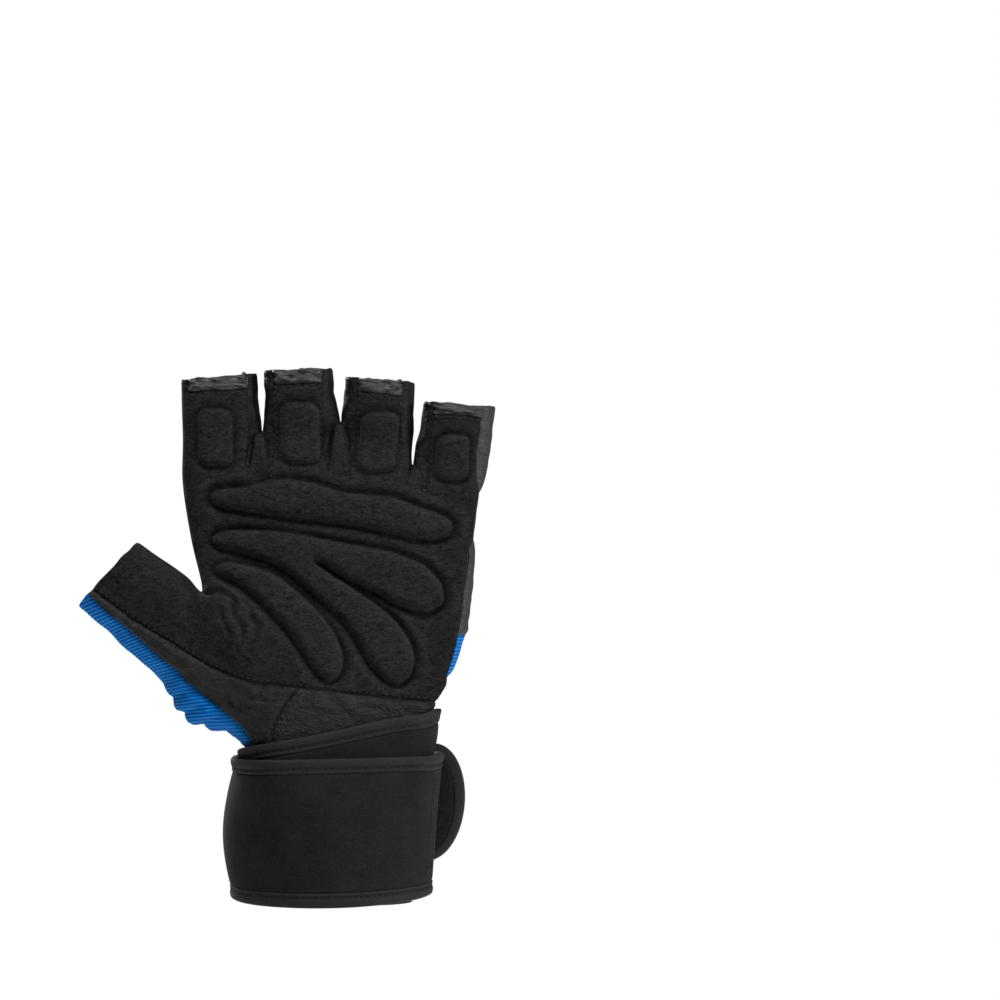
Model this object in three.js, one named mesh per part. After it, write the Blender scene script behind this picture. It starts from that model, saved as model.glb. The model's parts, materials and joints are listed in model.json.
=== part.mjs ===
// A half-finger weightlifting glove for the left hand, in its worn shape: palm towards -Y, fingers up,
// thumb towards -X. The origin is the centre of the wrist opening.
// The sewn skin is one smoothed mesh of quads, drawn as rings of points round the hand. Each ring's
// points lie on seams, so every leather, suede or knitted panel is a set of whole quads given a thickness.
import * as THREE from "three";

// Sizes of the hand part, in millimetres.
const palmWidth = 109; // outside, across the knuckles
const palmHeight = 99; // wrist line to the crotches of the fingers
const palmDepth = 34; // outside, front to back
const fingerLength = 40; // crotch line to the middle finger's mouth
const fingerWidth = 26.5; // outside, seam rolls included
const fingerDepth = 20;
const thumbReach = 57.5; // root to mouth, along the thumb
const thumbWidth = 29.5; // at the mouth
const thumbDepth = 24;
const thumbAngle = 141.5; // degrees from +X, in the plane of the palm

// Sizes of the cuff.
const cuffHeight = 59;
const wristWidth = 64.5; // outside the sleeve
const wristDepth = 47;
const wristOffset = 0.75; // the wrist's centre from the palm's own zero line

// Thicknesses and clearances.
const suedeWall = 1.3;
const leatherWall = 1.1;
const knitWall = 1.3;
const sleeveWall = 1.5;
const hemWall = 1.5;
const strapWall = 2;
const bindingWall = 0.5; // what the binding adds on each face of the strap
const seamGap = 0.3; // between neighbouring panels
const seamSlack = 1.2; // panels that meet at a fold are drawn back this much more than half the gap
const layerGap = 0.35; // between one layer and the next
const padGap = 0.5; // under a pad, which spans the suede's small folds

// Foam pads, hems and the strap.
const padHeight = 2;
const padEdge = 0.6; // a pad's thickness at its rim
const hemHeight = 5.2;
const strapWidth = 51.5;
const bindingWidth = 5.2;
const tabLength = 32; // the strap's free end, from where it leaves the wrist
const tabWidth = 44;
const tabBindingWidth = 4.2;

const suedeColour = 0x1c1f1d;
const leatherColour = 0x2a2625;
const knitColour = 0x0b57b4;
const neopreneColour = 0x262624;

const palmZ = (share) => cuffHeight + share * palmHeight;

// Rings of the palm from the wrist line up. left and right are where the front's outer seams are, from
// the centre line and above the wrist line; sideLeft and sideRight are how far the side's fold lies
// outside that seam. front and back are depths at the left, middle and right. All are shares of the
// palm's sizes. gather draws a ring's first columns to its left, which slants the heel's seam.
const palmRings = [
  {
    left: -0.252, leftUp: 0.01, right: 0.31, rightUp: 0.01, sideLeft: 0.026, sideRight: 0.018,
    front: [0.5, 0.7, 0.46], back: [0.48, 0.66, 0.46], gather: 0.25,
  },
  {
    left: -0.272, leftUp: 0.254, right: 0.352, rightUp: 0.17, sideLeft: 0.04, sideRight: 0.011,
    front: [0.72, 0.66, 0.44], back: [0.4, 0.6, 0.38],
  },
  {
    left: -0.314, leftUp: 0.362, right: 0.404, rightUp: 0.266, sideLeft: 0.04, sideRight: 0.022,
    front: [0.78, 0.6, 0.42], back: [0.34, 0.54, 0.33],
  },
  {
    left: -0.36, leftUp: 0.474, right: 0.442, rightUp: 0.414, sideLeft: 0.03, sideRight: 0.024,
    front: [0.74, 0.55, 0.39], back: [0.32, 0.51, 0.3],
  },
  {
    left: -0.408, leftUp: 0.572, right: 0.462, rightUp: 0.564, sideLeft: 0.02, sideRight: 0.02,
    front: [0.54, 0.52, 0.36], back: [0.3, 0.5, 0.29],
  },
  {
    left: -0.444, leftUp: 0.708, right: 0.478, rightUp: 0.706, sideLeft: 0.012, sideRight: 0.016,
    front: [0.33, 0.5, 0.33], back: [0.28, 0.48, 0.27],
  },
  {
    left: -0.471, leftUp: 0.857, right: 0.489, rightUp: 0.845, sideLeft: 0.011, sideRight: 0.014,
    front: [0.3, 0.48, 0.3], back: [0.26, 0.46, 0.26],
  },
  {
    left: -0.488, leftUp: 1.0, right: 0.506, rightUp: 0.968, sideLeft: 0.011, sideRight: 0.016,
    front: [0.27, 0.44, 0.27], back: [0.26, 0.42, 0.25],
  },
];
const suedeRing = 1; // the suede's lower edge lies on this ring
const stripRing = 3; // the leather side strip ends here, and knit goes on below
const thumbRing = 4; // the thumb's crotch

// The sleeve below the wrist line: height as a share of the cuff's, width and depth of the wrist's.
const sleeveRings = [
  { up: 0.02, width: 0.95, depth: 0.96 },
  { up: 0.5, width: 1, depth: 1 },
];

// The fingers: seams where they meet the palm as shares of the front's width from seam to seam, the
// stall's centre at its root and mouth as shares of the palm's width, the mouth's height at its left and
// right as shares of the finger's length above the crotch line, its width as a share of a finger's, how
// far in from its two sides the seams lie, and how far its mouth leans to the palm's side.
const fingers = [
  {
    name: "index", seams: [0, 0.218], root: -0.366, mouth: -0.373, up: [0.907, 0.963],
    width: 1.055, insets: [0.06, 0.1], lean: 0.1,
  },
  {
    name: "middle", seams: [0.283, 0.491], root: -0.094, mouth: -0.106, up: [0.991, 1.009],
    width: 0.985, insets: [0.115, 0.14], lean: 0.16,
  },
  {
    name: "ring", seams: [0.556, 0.758], root: 0.158, mouth: 0.171, up: [0.935, 0.879],
    width: 1, insets: [0.18, 0.16], lean: 0.16,
  },
  {
    name: "little", seams: [0.82, 1], root: 0.407, mouth: 0.441, up: [0.71, 0.654],
    width: 1.035, insets: [0.15, 0.18], lean: 0.1,
  },
];
const fingerStations = [0.3, 0.6, 1 - hemHeight / fingerLength, 1];

// The crotches: heights at the palm, the fold and the back, as shares of the finger's length above the
// crotch line.
const crotches = [
  { front: 0.02, fold: 0.24, back: 0.38 },
  { front: 0.07, fold: 0.28, back: 0.43 },
  { front: -0.07, fold: 0.05, back: 0.12 },
];
const crotchFold = 0.3; // half the fold's width, as a share of the gap between the seams

// The thumb's rings from its root out. along and aside are shares of its reach; turn is the ring's
// direction in degrees; width, depth and forward are shares of its width and depth; knitEdge and
// suedeEdge are where the seams lie across it, from its outer side.
const thumbRings = [
  {
    along: 0.209, aside: -0.039, turn: 93.6, width: 1.71, depth: 1.64, forward: 0.28,
    knitEdge: 0.21, suedeEdge: 0.47,
  },
  {
    along: 0.356, aside: -0.026, turn: 85, width: 1.53, depth: 1.54, forward: 0.3,
    knitEdge: 0.22, suedeEdge: 0.43,
  },
  {
    along: 0.583, aside: -0.012, turn: 73, width: 1.29, depth: 1.3, forward: 0.33,
    knitEdge: 0.19, suedeEdge: 0.34,
  },
  {
    along: 0.795, aside: -0.006, turn: 58, width: 1.14, depth: 1.1, forward: 0.36,
    knitEdge: 0.19, suedeEdge: 0.28,
  },
  {
    along: 0.985, aside: 0, turn: 47, width: 1.1, depth: 1, forward: 0.4,
    knitEdge: 0.19, suedeEdge: 0.25,
  },
];
const thumbRoot = { x: -0.343, up: 0.288 }; // shares of the palm's width and height

// Foam pads, each a list of cross-sections from its left end: centre x and up, the direction across it
// in degrees, and half its width. x and half are shares of the palm's width, up of its height.
const knucklePad = [
  { x: -0.405, up: 0.928, turn: 90, half: 0.02 },
  { x: -0.365, up: 0.924, turn: 90, half: 0.036 },
  { x: -0.285, up: 0.92, turn: 92, half: 0.045 },
  { x: -0.2, up: 0.925, turn: 94, half: 0.063 },
  { x: -0.135, up: 0.922, turn: 90, half: 0.072 },
  { x: -0.055, up: 0.91, turn: 84, half: 0.068 },
  { x: 0.03, up: 0.888, turn: 82, half: 0.057 },
  { x: 0.12, up: 0.877, turn: 84, half: 0.06 },
  { x: 0.21, up: 0.86, turn: 80, half: 0.067 },
  { x: 0.29, up: 0.832, turn: 76, half: 0.058 },
  { x: 0.36, up: 0.818, turn: 78, half: 0.05 },
  { x: 0.415, up: 0.81, turn: 84, half: 0.028 },
];
const centreStem = [
  { x: -0.4, up: 0.768, turn: 90, half: 0.018 },
  { x: -0.37, up: 0.768, turn: 88, half: 0.034 },
  { x: -0.3, up: 0.765, turn: 76, half: 0.044 },
  { x: -0.2, up: 0.75, turn: 66, half: 0.057 },
  { x: -0.11, up: 0.72, turn: 58, half: 0.074 },
  { x: -0.045, up: 0.69, turn: 52, half: 0.092 },
];
const centreUpperLobe = [
  { x: 0.095, up: 0.68, turn: 66, half: 0.068 },
  { x: 0.185, up: 0.652, turn: 62, half: 0.078 },
  { x: 0.27, up: 0.605, turn: 52, half: 0.088 },
  { x: 0.33, up: 0.555, turn: 40, half: 0.074 },
  { x: 0.365, up: 0.512, turn: 30, half: 0.035 },
];
const centreLowerLobe = [
  { x: 0.045, up: 0.548, turn: 48, half: 0.056 },
  { x: 0.11, up: 0.488, turn: 44, half: 0.066 },
  { x: 0.168, up: 0.418, turn: 40, half: 0.078 },
  { x: 0.21, up: 0.345, turn: 34, half: 0.082 },
  { x: 0.24, up: 0.285, turn: 30, half: 0.066 },
  { x: 0.25, up: 0.238, turn: 28, half: 0.03 },
];
const thenarPad = [
  { x: -0.392, up: 0.662, turn: 90, half: 0.014 },
  { x: -0.355, up: 0.66, turn: 80, half: 0.03 },
  { x: -0.293, up: 0.643, turn: 66, half: 0.038 },
  { x: -0.21, up: 0.598, turn: 56, half: 0.056 },
  { x: -0.155, up: 0.545, turn: 50, half: 0.061 },
  { x: -0.1, up: 0.487, turn: 44, half: 0.064 },
  { x: -0.056, up: 0.427, turn: 38, half: 0.066 },
  { x: -0.018, up: 0.36, turn: 32, half: 0.066 },
  { x: 0.008, up: 0.3, turn: 28, half: 0.056 },
  { x: 0.02, up: 0.248, turn: 26, half: 0.026 },
];
// Finger pads: how far the middle lies from the stall's own, half the width, and how far the upper edge
// leans to the right of the lower one, as shares of the finger's width; heights of the lower and upper
// edges as shares of the finger's length above the crotch line.
const fingerPads = [
  { name: "index", shift: -0.067, half: 0.25, low: 0.1, high: 0.64, slant: 0 },
  { name: "middle", shift: 0, half: 0.28, low: 0.12, high: 0.7, slant: 0.01 },
  { name: "ring", shift: 0.015, half: 0.275, low: 0.04, high: 0.61, slant: 0.035 },
  { name: "little", shift: 0, half: 0.238, low: -0.03, high: 0.4, slant: -0.038 },
];
// A finger pad's columns from left to right: how far up and down each reaches, and how high it rises.
const fingerPadSection = [
  { across: -1, reach: 0.8, rise: 0.1 },
  { across: -0.62, reach: 1, rise: 0.85 },
  { across: 0.62, reach: 1, rise: 0.85 },
  { across: 1, reach: 0.8, rise: 0.1 },
];
// A section across a pad: where its points lie from edge to edge, and how high they rise.
const padSection = [
  { across: -1, rise: 0 },
  { across: -0.62, rise: 0.82 },
  { across: 0, rise: 1 },
  { across: 0.62, rise: 0.82 },
  { across: 1, rise: 0 },
];

// The strap winds twice round the wrist: right side, front, left side, back, and again. Its upper edge
// at each quarter turn, as a share of the cuff's height above the wrist opening.
const strapEdge = [
  { turn: 0, up: 1.25 },
  { turn: 0.25, up: 1.1 },
  { turn: 0.5, up: 0.965 },
  { turn: 0.75, up: 0.95 },
  { turn: 1, up: 0.95 },
  { turn: 1.25, up: 0.935 },
  { turn: 1.5, up: 0.925 },
  { turn: 1.75, up: 0.975 },
  { turn: 2, up: 1.06 },
];
const stepsPerTurn = 32;
const strapStart = 1; // the strap's first step past the right side
const strapLeaves = 59; // the step at which the tab leaves the wrist
const climb = [26, 32]; // the steps between which it climbs onto its first turn
// The most that lies under the strap towards the thumb and elsewhere, as shares of the wrist's width.
const strapReach = { thumb: 0.52, elsewhere: 0.65 };
const thumbFocus = 6; // how narrowly the thumb's limit acts round its direction
const strapCrown = 2.4; // how far the middle of its second turn bulges on the thumb's side
const tabRound = 0.4; // the rounded end's share of the tab's length
const tabRise = 5; // how much higher the middle of its end lies
const tabFlare = 16; // degrees that it bends away from the wrist
const tabAngleStep = 18; // degrees between the points of its rounded end
const strapFlare = 2.6; // how much further down the strap reaches at the front than at its sides

const mix = (a, b, share) => a + (b - a) * share;
const throughThree = ([left, middle, right], share) =>
  left * (1 - share) * (1 - 2 * share) + 4 * middle * share * (1 - share) + right * share * (2 * share - 1);

// A mesh of quads. Each face knows the panel that it belongs to.
class Skin {
  constructor() {
    this.points = [];
    this.faces = [];
  }
  point(x, y, z) {
    this.points.push(new THREE.Vector3(x, y, z));
    return this.points.length - 1;
  }
  quad(a, b, c, d, panel) {
    this.faces.push({ corners: [a, b, c, d], panel });
  }
  neighbours() {
    const around = this.points.map(() => ({ edges: new Map(), opposite: [] }));
    for (const { corners } of this.faces)
      corners.forEach((v, i) => {
        for (const step of [1, 3]) {
          const other = corners[(i + step) % 4];
          around[v].edges.set(other, (around[v].edges.get(other) ?? 0) + 1);
        }
        around[v].opposite.push(corners[(i + 2) % 4]);
      });
    return around;
  }
  // Where each point ends on the smooth surface that the quads settle to.
  settled(points = this.points, around = this.neighbours()) {
    return points.map((p, v) => {
      const { edges, opposite } = around[v];
      const rim = [...edges].filter(([, uses]) => uses === 1).map(([other]) => other);
      const out = new THREE.Vector3();
      if (rim.length) {
        out.addScaledVector(p, 4);
        rim.forEach((other) => out.add(points[other]));
        return out.divideScalar(4 + rim.length);
      }
      const n = edges.size;
      out.addScaledVector(p, n * n);
      for (const other of edges.keys()) out.addScaledVector(points[other], 4);
      opposite.forEach((other) => out.add(points[other]));
      return out.divideScalar(n * (n + 5));
    });
  }
  // Moves the points until the smooth surface passes through where they were drawn.
  fit(rounds = 20) {
    const target = this.points.map((p) => p.clone());
    const around = this.neighbours();
    for (let round = 0; round < rounds; round++) {
      const now = this.settled(this.points, around);
      this.points.forEach((p, v) => p.add(target[v]).sub(now[v]));
    }
    return this;
  }
  // One round of Catmull-Clark subdivision.
  subdivided() {
    const finer = new Skin();
    const around = this.neighbours();
    const key = (a, b) => (a < b ? `${a} ${b}` : `${b} ${a}`);
    const edges = new Map();
    const centres = this.faces.map(({ corners }) => {
      const centre = new THREE.Vector3();
      corners.forEach((v) => centre.addScaledVector(this.points[v], 0.25));
      return centre;
    });
    this.faces.forEach(({ corners }, f) =>
      corners.forEach((v, i) => {
        const other = corners[(i + 1) % 4];
        const k = key(v, other);
        if (!edges.has(k)) edges.set(k, { ends: [v, other], faces: [] });
        edges.get(k).faces.push(f);
      }),
    );
    const touching = this.points.map(() => []);
    this.faces.forEach(({ corners }, f) => corners.forEach((v) => touching[v].push(f)));
    this.points.forEach((p, v) => {
      const out = new THREE.Vector3();
      const rim = [...around[v].edges].filter(([, uses]) => uses === 1).map(([other]) => other);
      if (rim.length) {
        out.addScaledVector(p, 6);
        rim.forEach((other) => out.add(this.points[other]));
        out.divideScalar(6 + rim.length);
      } else {
        const n = around[v].edges.size;
        for (const other of around[v].edges.keys())
          out.addScaledVector(this.points[other].clone().add(p), 1 / (n * n));
        touching[v].forEach((f) => out.addScaledVector(centres[f], 1 / (n * n)));
        out.addScaledVector(p, (n - 3) / n);
      }
      finer.points.push(out);
    });
    for (const edge of edges.values()) {
      const out = new THREE.Vector3();
      edge.ends.forEach((v) => out.add(this.points[v]));
      if (edge.faces.length === 2) edge.faces.forEach((f) => out.add(centres[f]));
      out.divideScalar(edge.ends.length + (edge.faces.length === 2 ? 2 : 0));
      edge.id = finer.point(out.x, out.y, out.z);
    }
    this.faces.forEach(({ corners, panel }, f) => {
      const middle = finer.point(centres[f].x, centres[f].y, centres[f].z);
      corners.forEach((v, i) => {
        const next = edges.get(key(v, corners[(i + 1) % 4])).id;
        const last = edges.get(key(v, corners[(i + 3) % 4])).id;
        finer.quad(v, next, middle, last, panel);
      });
    });
    return finer;
  }
  // The same quads with their points moved onto the smooth surface.
  onSurface() {
    const moved = new Skin();
    moved.points = this.settled();
    moved.faces = this.faces;
    return moved;
  }
  normals() {
    const out = this.points.map(() => new THREE.Vector3());
    for (const { corners } of this.faces) {
      const [a, b, c, d] = corners.map((v) => this.points[v]);
      const normal = new THREE.Vector3().crossVectors(c.clone().sub(a), d.clone().sub(b));
      corners.forEach((v) => out[v].add(normal));
    }
    return out.map((n) => n.normalize());
  }
}

// One ring of the palm: 12 points on the front, a fold on the right, 12 on the back, a fold on the left.
// Front and back points lie on the columns that run up into the fingers.
const columns = fingers.flatMap(({ seams }) => [seams[0], mix(seams[0], seams[1], 0.5), seams[1]]);
const perFinger = 3;
const foldShare = 0.1; // the side folds lie this far behind the middle plane, as a share of the depth
const rightFront = columns.length - 1; // a ring's step from the front to its right fold
const rightBack = columns.length;
const leftBack = 2 * columns.length; // its step from the back to its left fold
const leftFront = leftBack + 1;

const heelSeam = columns[perFinger];
const gathered = (share, { gather = 1 }) =>
  share < heelSeam ? share * gather : mix(heelSeam * gather, 1, (share - heelSeam) / (1 - heelSeam));

function palmRing(skin, ring, heights = {}) {
  const place = (share) => mix(ring.left, ring.right, gathered(share, ring)) * palmWidth;
  const height = (side, j) => heights[side]?.[j] ?? palmZ(mix(ring.leftUp, ring.rightUp, columns[j]));
  const depth = (side, share) => throughThree(ring[side], share) * palmDepth;
  const face = (side, sign) =>
    columns.map((share, j) => skin.point(place(share), sign * depth(side, share), height(side, j)));
  const front = face("front", -1);
  const back = face("back", 1);
  const foldY = (end) => foldShare * ring.back[end] * palmDepth;
  const right = skin.point((ring.right + ring.sideRight) * palmWidth, foldY(2), palmZ(ring.rightUp));
  const left = skin.point((ring.left - ring.sideLeft) * palmWidth, foldY(0), palmZ(ring.leftUp));
  return { front, right, back, left, all: [...front, right, ...back.slice().reverse(), left] };
}

const sleeveSeam = 0.8; // where the outer columns run on the sleeve, as a share of its half width

function sleeveRing(skin, { up, width, depth }) {
  const put = (across, face) => {
    const y = (face * Math.sqrt(1 - across * across) * depth * wristDepth) / 2;
    return skin.point(wristOffset + (across * width * wristWidth) / 2, y, up * cuffHeight);
  };
  const across = columns.map((share) => mix(-sleeveSeam, sleeveSeam, share));
  const front = across.map((a) => put(a, -1));
  const right = put(1, 0);
  const back = across.map((a) => put(a, 1)).reverse();
  return { all: [...front, right, ...back, put(-1, 0)] };
}

function joinRings(skin, below, above, panelOf) {
  const n = below.length;
  for (let i = 0; i < n; i++) {
    const panel = panelOf(i);
    if (panel) skin.quad(below[i], below[(i + 1) % n], above[(i + 1) % n], above[i], panel);
  }
}

function palmPanel(ring) {
  return (i) => {
    if (i >= leftBack && ring < thumbRing) return null; // the thumb grows from here
    if (i === leftFront) return "palm_suede";
    if (i === rightFront && ring < suedeRing) return "heel_leather";
    if (i === rightFront || i === rightBack) return ring >= stripRing ? "outer_strip" : "back_knit";
    if (i > rightBack) return "back_knit";
    if (ring >= suedeRing) return "palm_suede";
    return i < perFinger ? "thumb_gusset" : "heel_leather";
  };
}

const sideWall = (i) => `side_wall_${fingers[i].name}_${fingers[i + 1].name}`;

function growFinger(skin, index, base) {
  const finger = fingers[index];
  const half = (finger.width * fingerWidth) / 2;
  const deep = fingerDepth / 2;
  const corner = 0.86; // how deep its seams lie, as a share of its middle
  const [left, right] = [-half + 2 * half * finger.insets[0], half - 2 * half * finger.insets[1]];
  const outline = [
    [left, -deep * corner],
    [(left + right) / 2, -deep],
    [right, -deep * corner],
    [half, 0],
    [right, deep * corner],
    [(left + right) / 2, deep],
    [left, deep * corner],
    [-half, 0],
  ];
  const roots = base.map((id) => skin.points[id].clone());
  const mouthZ = (x) => palmZ(1) + mix(finger.up[0], finger.up[1], (x + half) / (2 * half)) * fingerLength;
  let below = base;
  fingerStations.forEach((station, row) => {
    const centre = mix(finger.root, finger.mouth, station) * palmWidth;
    const forward = -finger.lean * station * fingerDepth;
    const ring = outline.map(([x, y], i) =>
      skin.point(centre + x, y + forward, mix(roots[i].z, mouthZ(x), station)),
    );
    const front = row === fingerStations.length - 1 ? `hem_${finger.name}` : "palm_suede";
    joinRings(skin, below, ring, (i) => {
      if (i < 2) return front;
      if (i < 4) return index < 3 ? sideWall(index) : "outer_strip";
      if (i < 6) return "back_knit";
      if (index > 0) return sideWall(index - 1);
      return i === 6 ? "back_knit" : "palm_suede";
    });
    below = ring;
  });
}

const thumbEdges = [0.07, 0.93]; // the outermost seams of its front and back, across its width
const thumbExponent = 2.4; // 2 makes its sections ellipses, more makes them squarer
const thumbFrontSteps = [0.36, 0.7, 1]; // its front columns, from the suede's edge to the fold
const thumbBackSteps = [1, 0.76, 0.5, 0.24, 0]; // its back columns, from fold to fold

function growThumb(skin, base) {
  const axis = THREE.MathUtils.degToRad(thumbAngle);
  let below = base;
  for (const { along, aside, turn, width, depth, forward, knitEdge, suedeEdge } of thumbRings) {
    const x = thumbRoot.x * palmWidth + (along * Math.cos(axis) + aside * Math.sin(axis)) * thumbReach;
    const z = palmZ(thumbRoot.up) + (along * Math.sin(axis) - aside * Math.cos(axis)) * thumbReach;
    const across = THREE.MathUtils.degToRad(turn);
    const half = (width * thumbWidth) / 2;
    const put = (share, face) => {
      const a = 2 * share - 1;
      const rise = face * (1 - Math.abs(a) ** thumbExponent) ** (1 / thumbExponent) * depth;
      const y = ((rise - forward) * thumbDepth) / 2;
      return skin.point(x + a * half * Math.cos(across), y, z + a * half * Math.sin(across));
    };
    const [lower, upper] = thumbEdges;
    const inner = thumbFrontSteps.map((step) => mix(suedeEdge, upper, step));
    const ring = [
      ...[knitEdge, suedeEdge, ...inner].map((share) => put(share, -1)),
      put(1, 0),
      ...thumbBackSteps.map((step) => put(mix(lower, upper, step), 1)),
      put(0, 0),
    ];
    joinRings(skin, below, ring, (i) => {
      if (i === 0) return "thumb_gusset";
      return i < perFinger + 2 ? "palm_suede" : "thumb_knit";
    });
    below = ring;
  }
}

// The palm's top row bends into the crotches: a column between two fingers follows the crotch beside it,
// and a finger's middle column lies halfway between its two.
function crotchHeights(side) {
  const at = (i) => crotches[Math.min(Math.max(i, 0), crotches.length - 1)][side];
  return columns.map((_, j) => {
    const finger = Math.floor(j / perFinger);
    const share = [at(finger - 1), (at(finger - 1) + at(finger)) / 2, at(finger)][j % perFinger];
    return palmZ(1) + share * fingerLength;
  });
}

function drawSkin() {
  const skin = new Skin();
  const top = palmRings.length - 1;
  const heights = { front: crotchHeights("front"), back: crotchHeights("back") };
  const rings = palmRings.map((ring, k) => palmRing(skin, ring, k === top ? heights : {}));
  const cuff = [...sleeveRings.map((ring) => sleeveRing(skin, ring)), rings[0]];
  for (let k = 0; k + 1 < cuff.length; k++)
    joinRings(skin, cuff[k].all, cuff[k + 1].all, () => "wrist_sleeve");
  for (let k = 0; k < top; k++) joinRings(skin, rings[k].all, rings[k + 1].all, palmPanel(k));

  const last = rings[top];
  const folds = crotches.map(({ fold }, i) => {
    const a = perFinger * i + 2;
    const [left, right] = [skin.points[last.front[a]].x, skin.points[last.front[a + 1]].x];
    const z = palmZ(1) + fold * fingerLength;
    const half = (right - left) * crotchFold;
    const pair = [-half, half].map((x) => skin.point((left + right) / 2 + x, 0, z));
    skin.quad(last.front[a], last.front[a + 1], pair[1], pair[0], sideWall(i));
    skin.quad(pair[0], pair[1], last.back[a + 1], last.back[a], sideWall(i));
    return pair;
  });
  fingers.forEach((_, i) => {
    const own = [perFinger * i, perFinger * (i + 1)];
    growFinger(skin, i, [
      ...last.front.slice(...own),
      folds[i]?.[0] ?? last.right,
      ...last.back.slice(...own).reverse(),
      folds[i - 1]?.[1] ?? last.left,
    ]);
  });
  const opening = rings.slice(0, thumbRing + 1);
  growThumb(skin, [
    ...opening.map((ring) => ring.front[0]),
    rings[thumbRing].left,
    ...opening.map((ring) => ring.back[0]).reverse(),
    rings[0].left,
  ]);
  return skin;
}

// A closed solid from an outer and an inner copy of the same quads, with walls along their open edges.
function thickSolid(outer, inner, quads) {
  const n = outer.length;
  const triangles = [];
  const addQuad = (a, b, c, d) => triangles.push(a, b, c, a, c, d);
  const edges = new Set();
  for (const [a, b, c, d] of quads) {
    addQuad(a, b, c, d);
    addQuad(d + n, c + n, b + n, a + n);
    for (const [v, w] of [[a, b], [b, c], [c, d], [d, a]]) edges.add(`${v} ${w}`);
  }
  for (const edge of edges) {
    const [v, w] = edge.split(" ").map(Number);
    if (!edges.has(`${w} ${v}`)) addQuad(w, v, v + n, w + n);
  }
  const geometry = new THREE.BufferGeometry();
  const places = [...outer, ...inner].flatMap((p) => p.toArray());
  geometry.setAttribute("position", new THREE.Float32BufferAttribute(places, 3));
  geometry.setIndex(triangles);
  geometry.computeVertexNormals();
  return geometry;
}

// One panel of the skin: its outer face drawn back from its seams, and its inner face one wall behind.
function panelSolid(skin, normals, panel, wall) {
  const faces = skin.faces.filter((face) => face.panel === panel);
  const ids = [...new Set(faces.flatMap((face) => face.corners))];
  const slot = new Map(ids.map((id, i) => [id, i]));
  const beyond = skin.faces.filter((face) => face.panel !== panel);
  const shared = new Set(beyond.flatMap((face) => face.corners));
  const outer = ids.map((id) => {
    const p = skin.points[id].clone();
    if (!shared.has(id)) return p;
    const inward = new THREE.Vector3();
    for (const { corners } of faces.filter((face) => face.corners.includes(id)))
      for (const v of corners) {
        const step = skin.points[v].clone().sub(p);
        if (!shared.has(v)) inward.add(step);
        else if (v === corners[(corners.indexOf(id) + 2) % 4]) inward.addScaledVector(step, 0.5);
      }
    return p.addScaledVector(inward.normalize(), (seamGap / 2) * seamSlack);
  });
  const inner = ids.map((id, i) => outer[i].clone().addScaledVector(normals[id], -wall));
  return thickSolid(outer, inner, faces.map(({ corners }) => corners.map((v) => slot.get(v))));
}

// Where a line through the skin meets it last, measured along the line from its start.
function farthestHit(skin, panels, origin, direction) {
  const ray = new THREE.Ray(origin, direction);
  const hit = new THREE.Vector3();
  let far = -Infinity;
  for (const { corners, panel } of skin.faces) {
    if (!panels(panel)) continue;
    const [a, b, c, d] = corners.map((v) => skin.points[v]);
    for (const [p, q] of [[b, c], [c, d]])
      if (ray.intersectTriangle(a, p, q, false, hit)) far = Math.max(far, hit.distanceTo(origin));
  }
  return far;
}

// Rows of points, each as wide as the next, as quads.
function gridQuads(count, wide, first = 0) {
  const quads = [];
  for (let i = 0; i + 1 < count; i++)
    for (let j = 0; j + 1 < wide; j++) {
      const a = first + i * wide + j;
      quads.push([a, a + wide, a + wide + 1, a + 1]);
    }
  return quads;
}

// Pads lie on the palm's side: each point is found on the suede and lifted off it.
function padSolid(skin, points, quads) {
  const towardsPalm = new THREE.Vector3(0, -1, 0);
  const suede = (panel) => panel === "palm_suede";
  const reach = points.map(({ x, z }) => farthestHit(skin, suede, new THREE.Vector3(x, 0, z), towardsPalm));
  const lifted = (rise) =>
    points.map((point, i) => new THREE.Vector3(point.x, -reach[i] - padGap - rise(point), point.z));
  return thickSolid(lifted((point) => padEdge + point.rise * padHeight), lifted(() => 0), quads);
}

const padTaper = [0.1, 0.75]; // how high a pad's last two sections rise

function padRows(sections, profile, { first = true, last = true } = {}) {
  return sections.flatMap(({ x, up, turn, half }, i) => {
    const direction = THREE.MathUtils.degToRad(turn);
    const lift = (first && padTaper[i]) || (last && padTaper[sections.length - 1 - i]) || 1;
    return profile.map(({ across, rise }) => ({
      x: (x + across * half * Math.cos(direction)) * palmWidth,
      z: palmZ(up) + across * half * Math.sin(direction) * palmWidth,
      rise: rise * lift,
    }));
  });
}

function stripPad(skin, sections) {
  const wide = padSection.length;
  return padSolid(skin, padRows(sections, padSection), gridQuads(sections.length, wide));
}

const forkValley = 0.9; // how high the valley rises where the stem's two lobes part

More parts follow.
